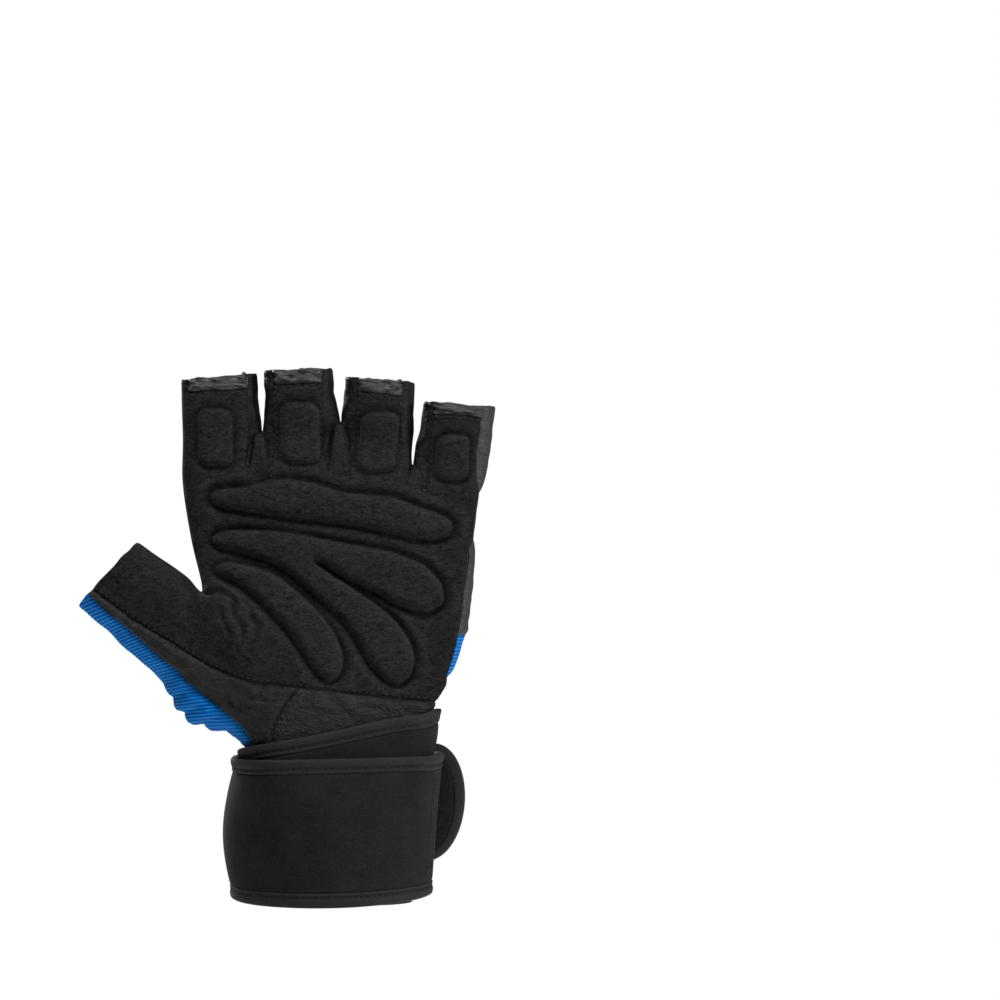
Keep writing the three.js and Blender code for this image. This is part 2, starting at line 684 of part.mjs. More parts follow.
function forkedPad(skin) {
  const wide = padSection.length;
  const halves = [-1, 1].map((side) =>
    padSection.map(({ across, rise }, j) => ({
      across: (across + side) / 2,
      rise: j === (side < 0 ? wide - 1 : 0) ? forkValley : Math.max(rise, j === wide >> 1 ? 1 : 0),
    })),
  );
  const profile = [...halves[0], ...halves[1].slice(1)];
  const rows = [
    padRows(centreStem, profile, { last: false }),
    padRows(centreLowerLobe, padSection, { first: false }),
    padRows(centreUpperLobe, padSection, { first: false }),
  ];
  const start = [0, rows[0].length, rows[0].length + rows[1].length];
  const lastStem = start[1] - profile.length;
  const quads = [
    ...gridQuads(centreStem.length, profile.length),
    ...gridQuads(centreLowerLobe.length, wide, start[1]),
    ...gridQuads(centreUpperLobe.length, wide, start[2]),
  ];
  for (let j = 0; j + 1 < wide; j++) {
    const [low, high] = [lastStem + j, lastStem + j + wide - 1];
    quads.push([low, start[1] + j, start[1] + j + 1, low + 1]);
    quads.push([high, start[2] + j, start[2] + j + 1, high + 1]);
  }
  return padSolid(skin, rows.flat(), quads);
}

function fingerPad(skin, { name, shift, half, low, high, slant }) {
  const finger = fingers.find((stall) => stall.name === name);
  const mouthUp = mix(finger.up[0], finger.up[1], 0.5);
  const middle = (low + high) / 2;
  const points = fingerPadSection.flatMap(({ across, reach, rise }) =>
    padSection.map((row) => {
      const up = middle + ((high - low) / 2) * reach * row.across;
      const stall = mix(finger.root, finger.mouth, up / mouthUp) * palmWidth;
      return {
        x: stall + (shift + across * half + (slant * row.across) / 2) * fingerWidth,
        z: palmZ(1) + up * fingerLength,
        rise: rise * row.rise,
      };
    }),
  );
  return padSolid(skin, points, gridQuads(fingerPadSection.length, padSection.length));
}

// What the strap lies on: how far the skin reaches from the middle of the wrist, step by step round it
// and level by level up it.
const levelStep = 2.5;
const lowestLevel = 2;
const levelCount = 31;
const stepAngle = (step) => (-2 * Math.PI * step) / stepsPerTurn; // from the little finger's side

function wristReaches(skin) {
  const cuff = ["wrist_sleeve", "heel_leather", "thumb_gusset", "back_knit", "thumb_knit", "palm_suede"];
  const limit = (angle) => {
    const towardsThumb = Math.max(0, -Math.cos(angle)) ** thumbFocus;
    return wristWidth * mix(strapReach.elsewhere, strapReach.thumb, towardsThumb);
  };
  const cast = (step, k) => {
    const angle = stepAngle(step);
    const origin = new THREE.Vector3(wristOffset, 0, lowestLevel + k * levelStep);
    const direction = new THREE.Vector3(Math.cos(angle), Math.sin(angle), 0);
    const reach = farthestHit(skin, (panel) => cuff.includes(panel), origin, direction);
    return Math.min(reach, limit(angle));
  };
  const raw = Array.from({ length: 2 * stepsPerTurn }, (_, i) =>
    Array.from({ length: levelCount }, (_, k) => cast(i / 2, k)),
  );
  // The strap is straight between its steps, so each reach covers the half steps and levels beside it.
  return Array.from({ length: stepsPerTurn }, (_, i) =>
    Array.from({ length: levelCount }, (_, k) => {
      const beside = [raw.at(2 * i - 1), raw[2 * i], raw[2 * i + 1]];
      return Math.max(...beside.flatMap((levels) => levels.slice(Math.max(0, k - 1), k + 2)));
    }),
  );
}

function reachAt(reaches, step, z) {
  const levels = reaches[step % stepsPerTurn];
  const level = THREE.MathUtils.clamp((z - lowestLevel) / levelStep, 0, levelCount - 1.001);
  const k = Math.floor(level);
  return mix(levels[k], levels[k + 1], level - k);
}

const layerWall = strapWall + 2 * bindingWall;
const edgeCurve = new THREE.SplineCurve(strapEdge.map(({ turn, up }) => new THREE.Vector2(turn, up)));
const lastTurn = strapEdge.at(-1).turn;
const strapTop = (step) => edgeCurve.getPoint(step / stepsPerTurn / lastTurn).y * cuffHeight;
const climbed = (step) => THREE.MathUtils.smoothstep(step, climb[0], climb[1]);
const growth = (step) => (layerWall + layerGap) * (climbed(step) + climbed(step - stepsPerTurn));

const flared = (step, drop) =>
  drop * (1 + (strapFlare / strapWidth) * Math.max(0, -Math.sin(stepAngle(step))));

function strapPoint(reaches, step, z, offset) {
  const reach = reachAt(reaches, step, z) + layerGap + growth(step) + offset;
  const angle = stepAngle(step);
  return new THREE.Vector3(wristOffset + reach * Math.cos(angle), reach * Math.sin(angle), z);
}

function crown(step, share) {
  const towardsThumb = (1 - Math.cos(stepAngle(step))) / 2;
  return strapCrown * towardsThumb * climbed(step) * 4 * share * (1 - share);
}

// A band of the strap between two distances down from its upper edge.
function strapBand(reaches, { from, to, across }, inner, outer) {
  const count = strapLeaves - strapStart + 1;
  const layer = (offset) =>
    Array.from({ length: count }, (_, i) => {
      const step = strapStart + i;
      return across.map((share) => {
        const z = strapTop(step) - flared(step, mix(from, to, share));
        return strapPoint(reaches, step, z, offset + (across.length > 2 ? crown(step, share) : 0));
      });
    }).flat();
  return thickSolid(layer(outer), layer(inner), gridQuads(count, across.length));
}

// The tab goes on in the direction in which the strap leaves the wrist, bending away from it.
const tabMiddle = strapTop(strapLeaves) - strapWidth / 2;
const tabStraight = tabLength * (1 - tabRound);

function tabPoint(reaches, { d, up }, offset) {
  const middle = strapPoint(reaches, strapLeaves, tabMiddle, 0);
  const before = strapPoint(reaches, strapLeaves - 1, tabMiddle, 0);
  const along = middle.clone().sub(before).normalize();
  const outward = new THREE.Vector3(-along.y, along.x, 0);
  const bend = THREE.MathUtils.degToRad(tabFlare) * (d / tabLength);
  const sewn = strapPoint(reaches, strapLeaves, tabMiddle + up, offset);
  const flat = middle.addScaledVector(outward, offset).setZ(tabMiddle + up);
  return sewn
    .lerp(flat, Math.min(1, d / tabStraight))
    .addScaledVector(along, d * Math.cos(bend))
    .addScaledVector(outward, d * Math.sin(bend))
    .add(new THREE.Vector3(0, 0, tabRise * (d / tabLength)));
}

// Half the tab's outline, set in from its edge: a straight stretch, then a quarter of an ellipse.
function tabHalfOutline(inset, lastAngle) {
  const line = [0, 0.5, 1].map((share) => ({
    d: mix(seamGap, tabStraight, share),
    up: mix(strapWidth, tabWidth, share) / 2 - inset,
  }));
  const count = Math.round(lastAngle / tabAngleStep);
  const arc = Array.from({ length: count }, (_, i) => {
    const angle = THREE.MathUtils.degToRad(tabAngleStep * (i + 1));
    return {
      d: tabStraight + (tabLength * tabRound - inset) * Math.sin(angle),
      up: (tabWidth / 2 - inset) * Math.cos(angle),
    };
  });
  return [...line, ...arc];
}

function tabCore(reaches) {
  const rows = tabHalfOutline(tabBindingWidth, 90 - tabAngleStep);
  const across = [1, 0, -1];
  const layer = (offset) =>
    rows.flatMap(({ d, up }) => across.map((side) => tabPoint(reaches, { d, up: side * up }, offset)));
  const quads = gridQuads(rows.length, across.length);
  return thickSolid(layer(bindingWall + strapWall), layer(bindingWall), quads);
}

function tabBinding(reaches) {
  const edge = tabHalfOutline(0, 90);
  const inner = tabHalfOutline(tabBindingWidth - seamGap, 90);
  const there = edge.map((point, i) => [point, inner[i]]);
  const back = there.slice(0, -1).reverse().map((row) => row.map(({ d, up }) => ({ d, up: -up })));
  const rows = [...there, ...back];
  const layer = (offset) => rows.flat().map((point) => tabPoint(reaches, point, offset));
  return thickSolid(layer(layerWall), layer(0), gridQuads(rows.length, 2));
}

const skin = drawSkin().fit().subdivided().onSurface();
const normals = skin.normals();
const reaches = wristReaches(skin);

const cloth = (color, roughness) => new THREE.MeshStandardMaterial({ color, roughness, metalness: 0 });
const suede = cloth(suedeColour, 0.95);
const leather = cloth(leatherColour, 0.6);
const knit = cloth(knitColour, 0.8);
const neoprene = cloth(neopreneColour, 0.85);

const group = new THREE.Group();
function add(name, geometry, material) {
  const mesh = new THREE.Mesh(geometry, material);
  mesh.name = name;
  group.add(mesh);
}

const panels = [
  { name: "palm_suede", wall: suedeWall, material: suede },
  { name: "thumb_gusset", wall: leatherWall, material: leather },
  { name: "heel_leather", wall: leatherWall, material: leather },
  { name: "outer_strip", wall: leatherWall, material: leather },
  { name: "back_knit", wall: knitWall, material: knit },
  { name: "thumb_knit", wall: knitWall, material: knit },
  { name: "wrist_sleeve", wall: sleeveWall, material: neoprene },
  ...crotches.map((_, i) => ({ name: sideWall(i), wall: leatherWall, material: leather })),
  ...fingers.map(({ name }) => ({ name: `hem_${name}`, wall: hemWall, material: leather })),
];
for (const { name, wall, material } of panels) add(name, panelSolid(skin, normals, name, wall), material);

for (const pad of fingerPads) add(`pad_${pad.name}`, fingerPad(skin, pad), suede);
add("pad_knuckles", stripPad(skin, knucklePad), suede);
add("pad_centre", forkedPad(skin), suede);
add("pad_thenar", stripPad(skin, thenarPad), suede);

const core = { from: bindingWidth, to: strapWidth - bindingWidth, across: [0, 0.25, 0.5, 0.75, 1] };
const upperBinding = { from: 0, to: bindingWidth - seamGap, across: [0, 1] };
const lowerBinding = { from: strapWidth - bindingWidth + seamGap, to: strapWidth, across: [0, 1] };
add("strap", strapBand(reaches, core, bindingWall, bindingWall + strapWall), neoprene);
add("strap_upper_binding", strapBand(reaches, upperBinding, 0, layerWall), neoprene);
add("strap_lower_binding", strapBand(reaches, lowerBinding, 0, layerWall), neoprene);
add("tab", tabCore(reaches), neoprene);
add("tab_binding", tabBinding(reaches), neoprene);

group.position.x = -wristOffset; // the origin is the middle of the wrist opening

export default group;
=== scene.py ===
import json
import math

import bmesh
import bpy
import numpy as np
from mathutils import Matrix, Vector
from mathutils.bvhtree import BVHTree
from mathutils.kdtree import KDTree


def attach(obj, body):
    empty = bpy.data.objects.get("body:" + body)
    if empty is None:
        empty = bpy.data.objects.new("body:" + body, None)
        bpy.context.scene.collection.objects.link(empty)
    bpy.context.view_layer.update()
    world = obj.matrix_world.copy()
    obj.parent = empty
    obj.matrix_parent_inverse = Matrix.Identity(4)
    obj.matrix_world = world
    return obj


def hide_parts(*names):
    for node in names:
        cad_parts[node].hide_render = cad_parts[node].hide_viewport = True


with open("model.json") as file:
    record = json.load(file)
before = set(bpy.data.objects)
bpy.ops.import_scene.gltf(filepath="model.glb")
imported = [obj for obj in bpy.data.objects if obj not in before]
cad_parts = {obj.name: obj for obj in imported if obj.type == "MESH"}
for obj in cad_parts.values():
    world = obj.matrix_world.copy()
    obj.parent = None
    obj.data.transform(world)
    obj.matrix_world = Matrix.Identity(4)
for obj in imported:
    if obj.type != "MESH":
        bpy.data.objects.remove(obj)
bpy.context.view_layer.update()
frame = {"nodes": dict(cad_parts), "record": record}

mm = 0.001
cadNodes = frame["nodes"]
slotOf = {part["node"]: part["material_slot"] for part in frame["record"]["subparts"]}
scene = bpy.context.scene

# Lengths are in millimetres, apart from those of the materials' noise and bumps and of the studio.
# The sewn panels, with the wall of each.
panelWall = {
    "palm_suede": 1.3, "thumb_gusset": 1.1, "heel_leather": 1.1, "outer_strip": 1.1,
    "back_knit": 1.3, "thumb_knit": 1.3, "wrist_sleeve": 1.5,
    "side_wall_index_middle": 1.1, "side_wall_middle_ring": 1.1, "side_wall_ring_little": 1.1,
    "hem_index": 1.5, "hem_middle": 1.5, "hem_ring": 1.5, "hem_little": 1.5,
}
panelNames = list(panelWall)
panelId = {name: i for i, name in enumerate(panelNames)}
padNames = [name for name in cadNodes if name.startswith("pad_")]


# Helpers for meshes
def cadCopy(name):
    shape = bmesh.new()
    shape.from_mesh(cadNodes[name].data)
    bmesh.ops.remove_doubles(shape, verts=shape.verts, dist=0.01 * mm)
    bmesh.ops.join_triangles(shape, faces=shape.faces,
                             angle_face_threshold=math.pi, angle_shape_threshold=math.pi)
    return shape


def asObject(shape, name):
    mesh = bpy.data.meshes.new(name)
    shape.to_mesh(mesh)
    shape.free()
    piece = bpy.data.objects.new(name, mesh)
    scene.collection.objects.link(piece)
    return piece


def applyModifiers(piece):
    bpy.context.view_layer.update()
    seen = piece.evaluated_get(bpy.context.evaluated_depsgraph_get())
    finished = bpy.data.meshes.new_from_object(seen)
    rough = piece.data
    piece.modifiers.clear()
    piece.data = finished
    bpy.data.meshes.remove(rough)
    finished.name = piece.name
    return piece


def subdivide(piece, levels, kind="CATMULL_CLARK"):
    finer = piece.modifiers.new("finer", "SUBSURF")
    finer.subdivision_type = kind
    finer.levels = finer.render_levels = levels
    return applyModifiers(piece)


def giveWall(piece, wall):
    solid = piece.modifiers.new("wall", "SOLIDIFY")
    solid.thickness = wall * mm
    solid.offset = -1
    return applyModifiers(piece)


def readVectors(mesh, what):
    out = np.empty(len(mesh.vertices) * 3)
    mesh.vertices.foreach_get(what, out)
    return out.reshape(-1, 3)


def writePlaces(mesh, places):
    mesh.vertices.foreach_set("co", places.ravel())
    mesh.update()


def pointTree(points):
    tree = KDTree(len(points))
    for i, point in enumerate(points):
        tree.insert(point, i)
    tree.balance()
    return tree


def distanceTo(points, targets):
    tree = pointTree(targets)
    return np.array([tree.find(point)[2] for point in points])


def surfaceOf(piece):
    return BVHTree.FromObject(piece, bpy.context.evaluated_depsgraph_get())


def addAttribute(piece, name, values):
    attribute = piece.data.attributes.new(name, "FLOAT", "POINT")
    attribute.data.foreach_set("value", values)


def bell(distance, width):
    return np.exp(-((distance / width) ** 2))


def ease(value):
    value = np.clip(value, 0, 1)
    return value * value * (3 - 2 * value)


# One between two heights and zero outside them, over the lengths rise and fall.
def span(height, low, high, rise, fall):
    return ease((height - low) / rise) * ease((high - height) / fall)


# Uneven swellings: waves in many directions, whose lengths along x, y and z are about size.
def ripples(places, size, seed, count=26):
    chance = np.random.default_rng(seed)
    turn = chance.normal(size=(count, 3))
    turn /= np.linalg.norm(turn, axis=1)[:, None]
    turn *= chance.uniform(0.6, 1.5, (count, 1)) * 2 * math.pi / np.array(size)
    start = chance.uniform(0, 2 * math.pi, count)
    total = np.zeros(len(places))
    for k in range(count):
        total += np.sin(places @ turn[k] + start[k])
    return total / math.sqrt(count / 2)


def finishPiece(piece, material, replaces=(), sharp=50):
    piece.data.materials.clear()
    piece.data.materials.append(material)
    piece.data.polygons.foreach_set("material_index", np.zeros(len(piece.data.polygons), np.int32))
    piece.data.polygons.foreach_set("use_smooth", np.ones(len(piece.data.polygons), bool))
    piece.data.set_sharp_from_angle(angle=math.radians(sharp))
    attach(piece, "root")
    if replaces:
        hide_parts(*replaces)
    return piece


# Materials: noises are so many to a metre, and bumps so many metres deep.
def newMaterial(name, roughness, shine=0.5, sheen=0.0, sheenTint=(1, 1, 1, 1)):
    material = bpy.data.materials.new(name)
    material.use_nodes = True
    shader = material.node_tree.nodes["Principled BSDF"]
    shader.inputs["Roughness"].default_value = roughness
    shader.inputs["Sheen Weight"].default_value = sheen
    shader.inputs["Sheen Roughness"].default_value = 0.4
    shader.inputs["Specular IOR Level"].default_value = shine
    shader.inputs["Sheen Tint"].default_value = sheenTint
    return material


# Short words for a material's nodes. Each gives the socket that the next one takes.
class Wiring:
    def __init__(self, material):
        self.tree = material.node_tree
        self.shader = self.tree.nodes["Principled BSDF"]
        self.places = self.add("ShaderNodeTexCoord").outputs["Object"]

    def add(self, kind, **settings):
        node = self.tree.nodes.new(kind)
        for key, value in settings.items():
            setattr(node, key, value)
        return node

    def link(self, source, target):
        self.tree.links.new(source, target)

    def stretched(self, scale):
        mapping = self.add("ShaderNodeMapping")
        mapping.inputs["Scale"].default_value = scale
        self.link(self.places, mapping.inputs["Vector"])
        return mapping.outputs["Vector"]

    def noise(self, perMetre, detail=2.0, roughness=0.5, vector=None, distortion=0.0):
        node = self.add("ShaderNodeTexNoise")
        node.inputs["Scale"].default_value = perMetre
        node.inputs["Detail"].default_value = detail
        node.inputs["Roughness"].default_value = roughness
        node.inputs["Distortion"].default_value = distortion
        self.link(vector or self.places, node.inputs["Vector"])
        return node.outputs["Fac"]

    def cells(self, perMetre):
        node = self.add("ShaderNodeTexVoronoi")
        node.inputs["Scale"].default_value = perMetre
        self.link(self.places, node.inputs["Vector"])
        return node.outputs["Distance"]

    def maths(self, operation, first, second=0.0, third=0.0):
        node = self.add("ShaderNodeMath", operation=operation)
        for socket, value in zip(node.inputs, (first, second, third)):
            if isinstance(value, (int, float)):
                socket.default_value = value
            else:
                self.link(value, socket)
        return node.outputs[0]

    def ramp(self, source, stops):
        node = self.add("ShaderNodeValToRGB")
        marks = node.color_ramp.elements
        while len(marks) < len(stops):
            marks.new(0.5)
        for mark, (place, colour) in zip(marks, stops):
            mark.position = place
            mark.color = (*colour, 1)
        self.link(source, node.inputs["Fac"])
        return node.outputs["Color"]

    def attribute(self, name):
        return self.add("ShaderNodeAttribute", attribute_name=name).outputs["Fac"]

    # Painted shade: the colour made darker in hollows, by the relief kept on the mesh in millimetres.
    def shaded(self, colour, darkest, low=-0.9, high=0.5):
        spread = self.add("ShaderNodeMapRange")
        spread.inputs["From Min"].default_value = low
        spread.inputs["From Max"].default_value = high
        spread.inputs["To Min"].default_value = darkest
        self.link(self.attribute("relief"), spread.inputs["Value"])
        node = self.add("ShaderNodeVectorMath", operation="SCALE")
        self.link(colour, node.inputs[0])
        self.link(spread.outputs["Result"], node.inputs["Scale"])
        return node.outputs[0]

    def bump(self, height, distance, strength=1.0, under=None):
        node = self.add("ShaderNodeBump")
        node.inputs["Strength"].default_value = strength
        node.inputs["Distance"].default_value = distance
        self.link(height, node.inputs["Height"])
        if under:
            self.link(under, node.inputs["Normal"])
        return node.outputs["Normal"]

    # Sets the shader's colour, normal and roughness.
    def applyLook(self, colour=None, normal=None, roughness=None):
        if colour:
            self.link(colour, self.shader.inputs["Base Color"])
        if normal:
            self.link(normal, self.shader.inputs["Normal"])
        if roughness:
            self.link(roughness, self.shader.inputs["Roughness"])


suedeLook = {
    "dark": (0.0025, 0.0027, 0.0024), "light": (0.0178, 0.0185, 0.0173),
    "pile": 1300, "mottle": 620, "depth": 0.0004,
}


def suedeMaterial():
    material = newMaterial("suede", 0.95, shine=0.06, sheen=0.025)
    w = Wiring(material)
    pile = w.noise(suedeLook["pile"], 4, 0.75, w.stretched((0.7, 0.7, 1.2)))
    mottle = w.noise(suedeLook["mottle"], 3, 0.6, w.stretched((0.55, 0.55, 1.3)), 0.4)
    both = w.maths("ADD", w.maths("MULTIPLY", pile, 0.65), w.maths("MULTIPLY", mottle, 0.35))
    # Darker the lower the relief, in the pads' valleys, the creases and the seam grooves: painted shade.
    colour = w.shaded(w.ramp(both, [(0.38, suedeLook["dark"]), (0.64, suedeLook["light"])]), 0.32, -1.0)
    rough = w.bump(mottle, suedeLook["depth"] * 2.4, 0.8)
    w.applyLook(colour, w.bump(pile, suedeLook["depth"], 1.0, rough))
    return material


leatherLook = {
    "dark": (0.0035, 0.0033, 0.0031), "light": (0.0105, 0.0098, 0.0094),
    "grain": 1700, "creases": 260, "depth": 0.00014,
}


def leatherMaterial(name, shine, paler):
    material = newMaterial(name, 0.5, shine)
    w = Wiring(material)
    grain = w.cells(leatherLook["grain"])
    creases = w.noise(leatherLook["creases"], 5, 0.62, w.stretched((1, 1, 1.9)), 1.2)
    dark, light = ([paler * part for part in leatherLook[tone]] for tone in ("dark", "light"))
    # Darker where the relief is low, in the creases and seam grooves: painted shade.
    colour = w.shaded(w.ramp(w.noise(330, 4, 0.6), [(0.3, dark), (0.7, light)]), 0.3)
    coarse = w.bump(creases, leatherLook["depth"] * 9, 0.9)
    shine = w.maths("MULTIPLY_ADD", grain, 0.25, 0.38)
    w.applyLook(colour, w.bump(grain, leatherLook["depth"], 0.7, coarse), shine)
    return material


hemLook = {"dark": (0.004, 0.004, 0.0038), "light": (0.062, 0.06, 0.057), "crinkle": 600, "depth": 0.0011}


def hemMaterial():
    material = newMaterial("crinkled hem with painted highlights", 0.38, shine=0.5)
    w = Wiring(material)
    crinkle = w.noise(hemLook["crinkle"], 4, 0.62, w.stretched((0.3, 0.3, 2.1)), 1.5)
    # The crinkles are bumps; the pale streaks along them in the colour are painted highlights.
    colour = w.ramp(crinkle, [(0.47, hemLook["dark"]), (0.72, hemLook["light"])])
    grain = w.bump(w.cells(leatherLook["grain"]), leatherLook["depth"], 0.5)
    w.applyLook(colour, w.bump(crinkle, hemLook["depth"], 1.0, grain))
    return material


# The pitch of ribs is in millimetres, as the pieces' own rib attribute is.
knitLook = {
    "groove": (0.0005, 0.05, 0.2), "rib": (0.0008, 0.08, 0.29), "crestHighlight": (0.005, 0.17, 0.5),
    "pitch": 1.35, "depth": 0.00022,
}


def knitMaterial():
    material = newMaterial("knit", 0.85, shine=0.06, sheen=0.02, sheenTint=(0.4, 0.75, 1, 1))
    w = Wiring(material)
    along = w.maths("MULTIPLY", w.attribute("rib"), 2 * math.pi / knitLook["pitch"])
    wave = w.maths("MULTIPLY_ADD", w.maths("SINE", along), 0.5, 0.5)
    fuzz = w.noise(2600, 3, 0.6)
    height = w.maths("MULTIPLY_ADD", fuzz, 0.35, wave)
    # Pale on the ribs' crests and dark in their grooves, over a random tone: painted highlight and painted
    # shade.
    crestHighlight = w.maths("POWER", wave, 3.6)
    toneAndHighlight = w.maths("MULTIPLY_ADD", w.noise(800, 3, 0.6), 0.5, w.maths("MULTIPLY", crestHighlight, 0.75))
    colour = w.ramp(toneAndHighlight, [(0.16, knitLook["groove"]), (0.34, knitLook["rib"]), (1.0, knitLook["crestHighlight"])])
    # Darker where the relief is low, along the seam grooves: painted shade.
    colour = w.shaded(colour, 0.35, high=0)
    w.applyLook(colour, w.bump(height, knitLook["depth"], 0.9))
    return material


neopreneLook = {"dark": (0.0018, 0.0018, 0.0016), "light": (0.0074, 0.0074, 0.0068), "stitch": 1500}


def neopreneMaterial():
    material = newMaterial("neoprene", 0.8, shine=0.1, sheen=0.03)
    w = Wiring(material)
    loops = w.noise(neopreneLook["stitch"], 3, 0.6, w.stretched((0.6, 0.6, 1.2)))
    cloud = w.noise(90, 2)
    colour = w.ramp(w.maths("MULTIPLY_ADD", loops, 0.65, w.maths("MULTIPLY", cloud, 0.35)),
                    [(0.36, neopreneLook["dark"]), (0.64, neopreneLook["light"])])
    # Darker where the relief is low, along the stitch rows at the strap's end: painted shade, with no groove
    # in the mesh.
    w.applyLook(w.shaded(colour, 0.15, high=0), w.bump(loops, 0.00015, 0.8))
    return material


bindingLook = {"dark": (0.002, 0.002, 0.0018), "light": (0.0082, 0.0082, 0.0076), "pitch": 0.8}


def bindingMaterial(name, ribs):
    material = newMaterial(name, 0.7, shine=0.18, sheen=0.03)
    w = Wiring(material)
    along = w.maths("MULTIPLY", w.attribute("rib"), 2 * math.pi / bindingLook["pitch"])
    wave = w.maths("MULTIPLY_ADD", w.maths("SINE", along), 0.5, 0.5)
    height = w.maths("MULTIPLY_ADD", wave, ribs, w.maths("MULTIPLY", w.noise(2600, 3), 0.9))
    # Paler on the ribs' tops and darker between them, over a random tone: painted highlight and painted
    # shade. Far darker where the relief is low, along the stitched groove: painted shade.
    colour = w.shaded(w.ramp(height, [(0.2, bindingLook["dark"]), (1.0, bindingLook["light"])]), 0.06, high=0)
    w.applyLook(colour, w.bump(height, 0.0002, 1.0))
    return material


def threadMaterial(name, paler):
    material = newMaterial(name, 0.6, shine=0.2)
    w = Wiring(material)
    dark, light = [0.0015 * paler] * 3, [0.0055 * paler] * 3
    colour = w.ramp(w.noise(2400, 2), [(0.3, dark), (0.7, light)])
    w.applyLook(colour, w.bump(w.noise(5200, 1), 0.00006, 0.6))
    return material


# Tangled loops of the closing patch
def fuzzMaterial():
    material = newMaterial("fuzz", 0.9, shine=0.1, sheen=0.05)
    w = Wiring(material)
    tangle = w.noise(1100, 4, 0.7, distortion=2.0)
    colour = w.ramp(tangle, [(0.4, (0.0015, 0.0015, 0.0014)), (0.7, (0.014, 0.014, 0.013))])
    w.applyLook(colour, w.bump(tangle, 0.0009, 1.0))
    return material


print("materials")
looks = {
    "suede": suedeMaterial(), "leather": leatherMaterial("leather", 0.16, 0.9), "knit": knitMaterial(),
    # The walls between the fingers get the leather darkened, painted shade, and the outer strip gets it
    # paled, painted sheen.
    "wall": leatherMaterial("leather with painted shade", 0.14, 0.5), "strip": leatherMaterial("leather with painted sheen", 0.35, 2),
    "neoprene": neopreneMaterial(), "thread": threadMaterial("thread", 1),
    "binding": bindingMaterial("binding", 0.12), "ribbed": bindingMaterial("ribbed binding", 0.8),
    "pale": threadMaterial("pale thread", 4),
    "hem": hemMaterial(), "fuzz": fuzzMaterial(),
}


# The shell: the outer faces of all the panels, welded along their seams and made smooth.
def islands(faces):
    left = set(faces)
    found = []
    while left:
        island = [left.pop()]
        for face in island:
            for edge in face.edges:
                for other in edge.link_faces:
                    if other in left:
                        left.remove(other)
                        island.append(other)
        found.append(island)
    return found


# How many ways out a face of the layer has past the other panels, on average.
def openness(faces, cover, around):
    free = 0
    for face in faces:
        start = face.calc_center_median() + face.normal * 0.4 * mm
        free += sum(cover.ray_cast(start, way, 0.15)[0] is None for way in around)
    return free / len(faces)


# A panel without its rim is two layers. The outer one is kept.
def outerLayer(name, cover, around):
    shape = cadCopy(name)
    wall = panelWall[name] * mm
    rim = [face for face in shape.faces
           if sum(abs(edge.calc_length() - wall) < 0.02 * mm for edge in face.edges) >= 2]
    bmesh.ops.delete(shape, geom=rim, context="FACES")
    layers = islands(shape.faces)
    outside = set(max(layers, key=lambda faces: openness(faces, cover, around)))
    bmesh.ops.delete(shape, geom=[face for face in shape.faces if face not in outside], context="FACES")
    for face in shape.faces:
        face.material_index = panelId[name]
    return shape


# Corners of neighbouring panels meet halfway.
def weldSeams(shape, reach):
    pairs = bmesh.ops.find_doubles(shape, verts=shape.verts, dist=reach)["targetmap"]
    meeting = {}
    for vert, target in pairs.items():
        meeting.setdefault(target, [target]).append(vert)
    for target, group in meeting.items():
        target.co = sum((vert.co for vert in group), Vector()) / len(group)
    bmesh.ops.weld_verts(shape, targetmap=pairs)


def buildShell():
    cover = bmesh.new()
    for name in panelNames:
        cover.from_mesh(cadNodes[name].data)
    tree = BVHTree.FromBMesh(cover)
    cover.free()
    chance = np.random.default_rng(3)
    around = [Vector(way).normalized() for way in chance.normal(size=(18, 3))]
    shape = bmesh.new()
    for name in panelNames:
        layer = outerLayer(name, tree, around)
        mesh = bpy.data.meshes.new("layer")
        layer.to_mesh(mesh)
        layer.free()
        shape.from_mesh(mesh)
        bpy.data.meshes.remove(mesh)
    weldSeams(shape, 0.5 * mm)
    print("shell faces", len(shape.faces), "open edges", sum(edge.is_boundary for edge in shape.edges))
    shell = asObject(shape, "shell")
    for _ in panelNames:
        shell.data.materials.append(None)
    return subdivide(shell, 3)


print("shell")
shell = buildShell()


# Which panels lie on each side of every edge, and which edges are seams
def edgeTable(mesh):
    ends = np.empty(len(mesh.edges) * 2, np.int32)
    mesh.edges.foreach_get("vertices", ends)
    return ends.reshape(-1, 2)


def panelsBesideEdges(mesh):
    panelOf = np.empty(len(mesh.polygons), np.int32)
    mesh.polygons.foreach_get("material_index", panelOf)
    loopEdge = np.empty(len(mesh.loops), np.int32)
    mesh.loops.foreach_get("edge_index", loopEdge)
    sizes = np.empty(len(mesh.polygons), np.int32)
    mesh.polygons.foreach_get("loop_total", sizes)
    loopPanel = np.repeat(panelOf, sizes)
    low = np.full(len(mesh.edges), 99, np.int32)
    high = np.full(len(mesh.edges), -1, np.int32)
    uses = np.zeros(len(mesh.edges), np.int32)
    np.minimum.at(low, loopEdge, loopPanel)
    np.maximum.at(high, loopEdge, loopPanel)
    np.add.at(uses, loopEdge, 1)
    return low, high, uses, panelOf


ends = edgeTable(shell.data)
lowPanel, highPanel, edgeUses, panelOfFace = panelsBesideEdges(shell.data)
places = readVectors(shell.data, "co") * 1000
normals = readVectors(shell.data, "normal")

panelMask = {}
corners = np.empty(len(shell.data.loops), np.int32)
shell.data.loops.foreach_get("vertex_index", corners)
for name in panelNames:
    mask = np.zeros(len(places), bool)
    mask[corners[np.repeat(panelOfFace, 4) == panelId[name]]] = True
    panelMask[name] = mask


def seamEdges(first, second):
    pair = sorted((panelId[first], panelId[second]))
    return np.nonzero((lowPanel == pair[0]) & (highPanel == pair[1]))[0]


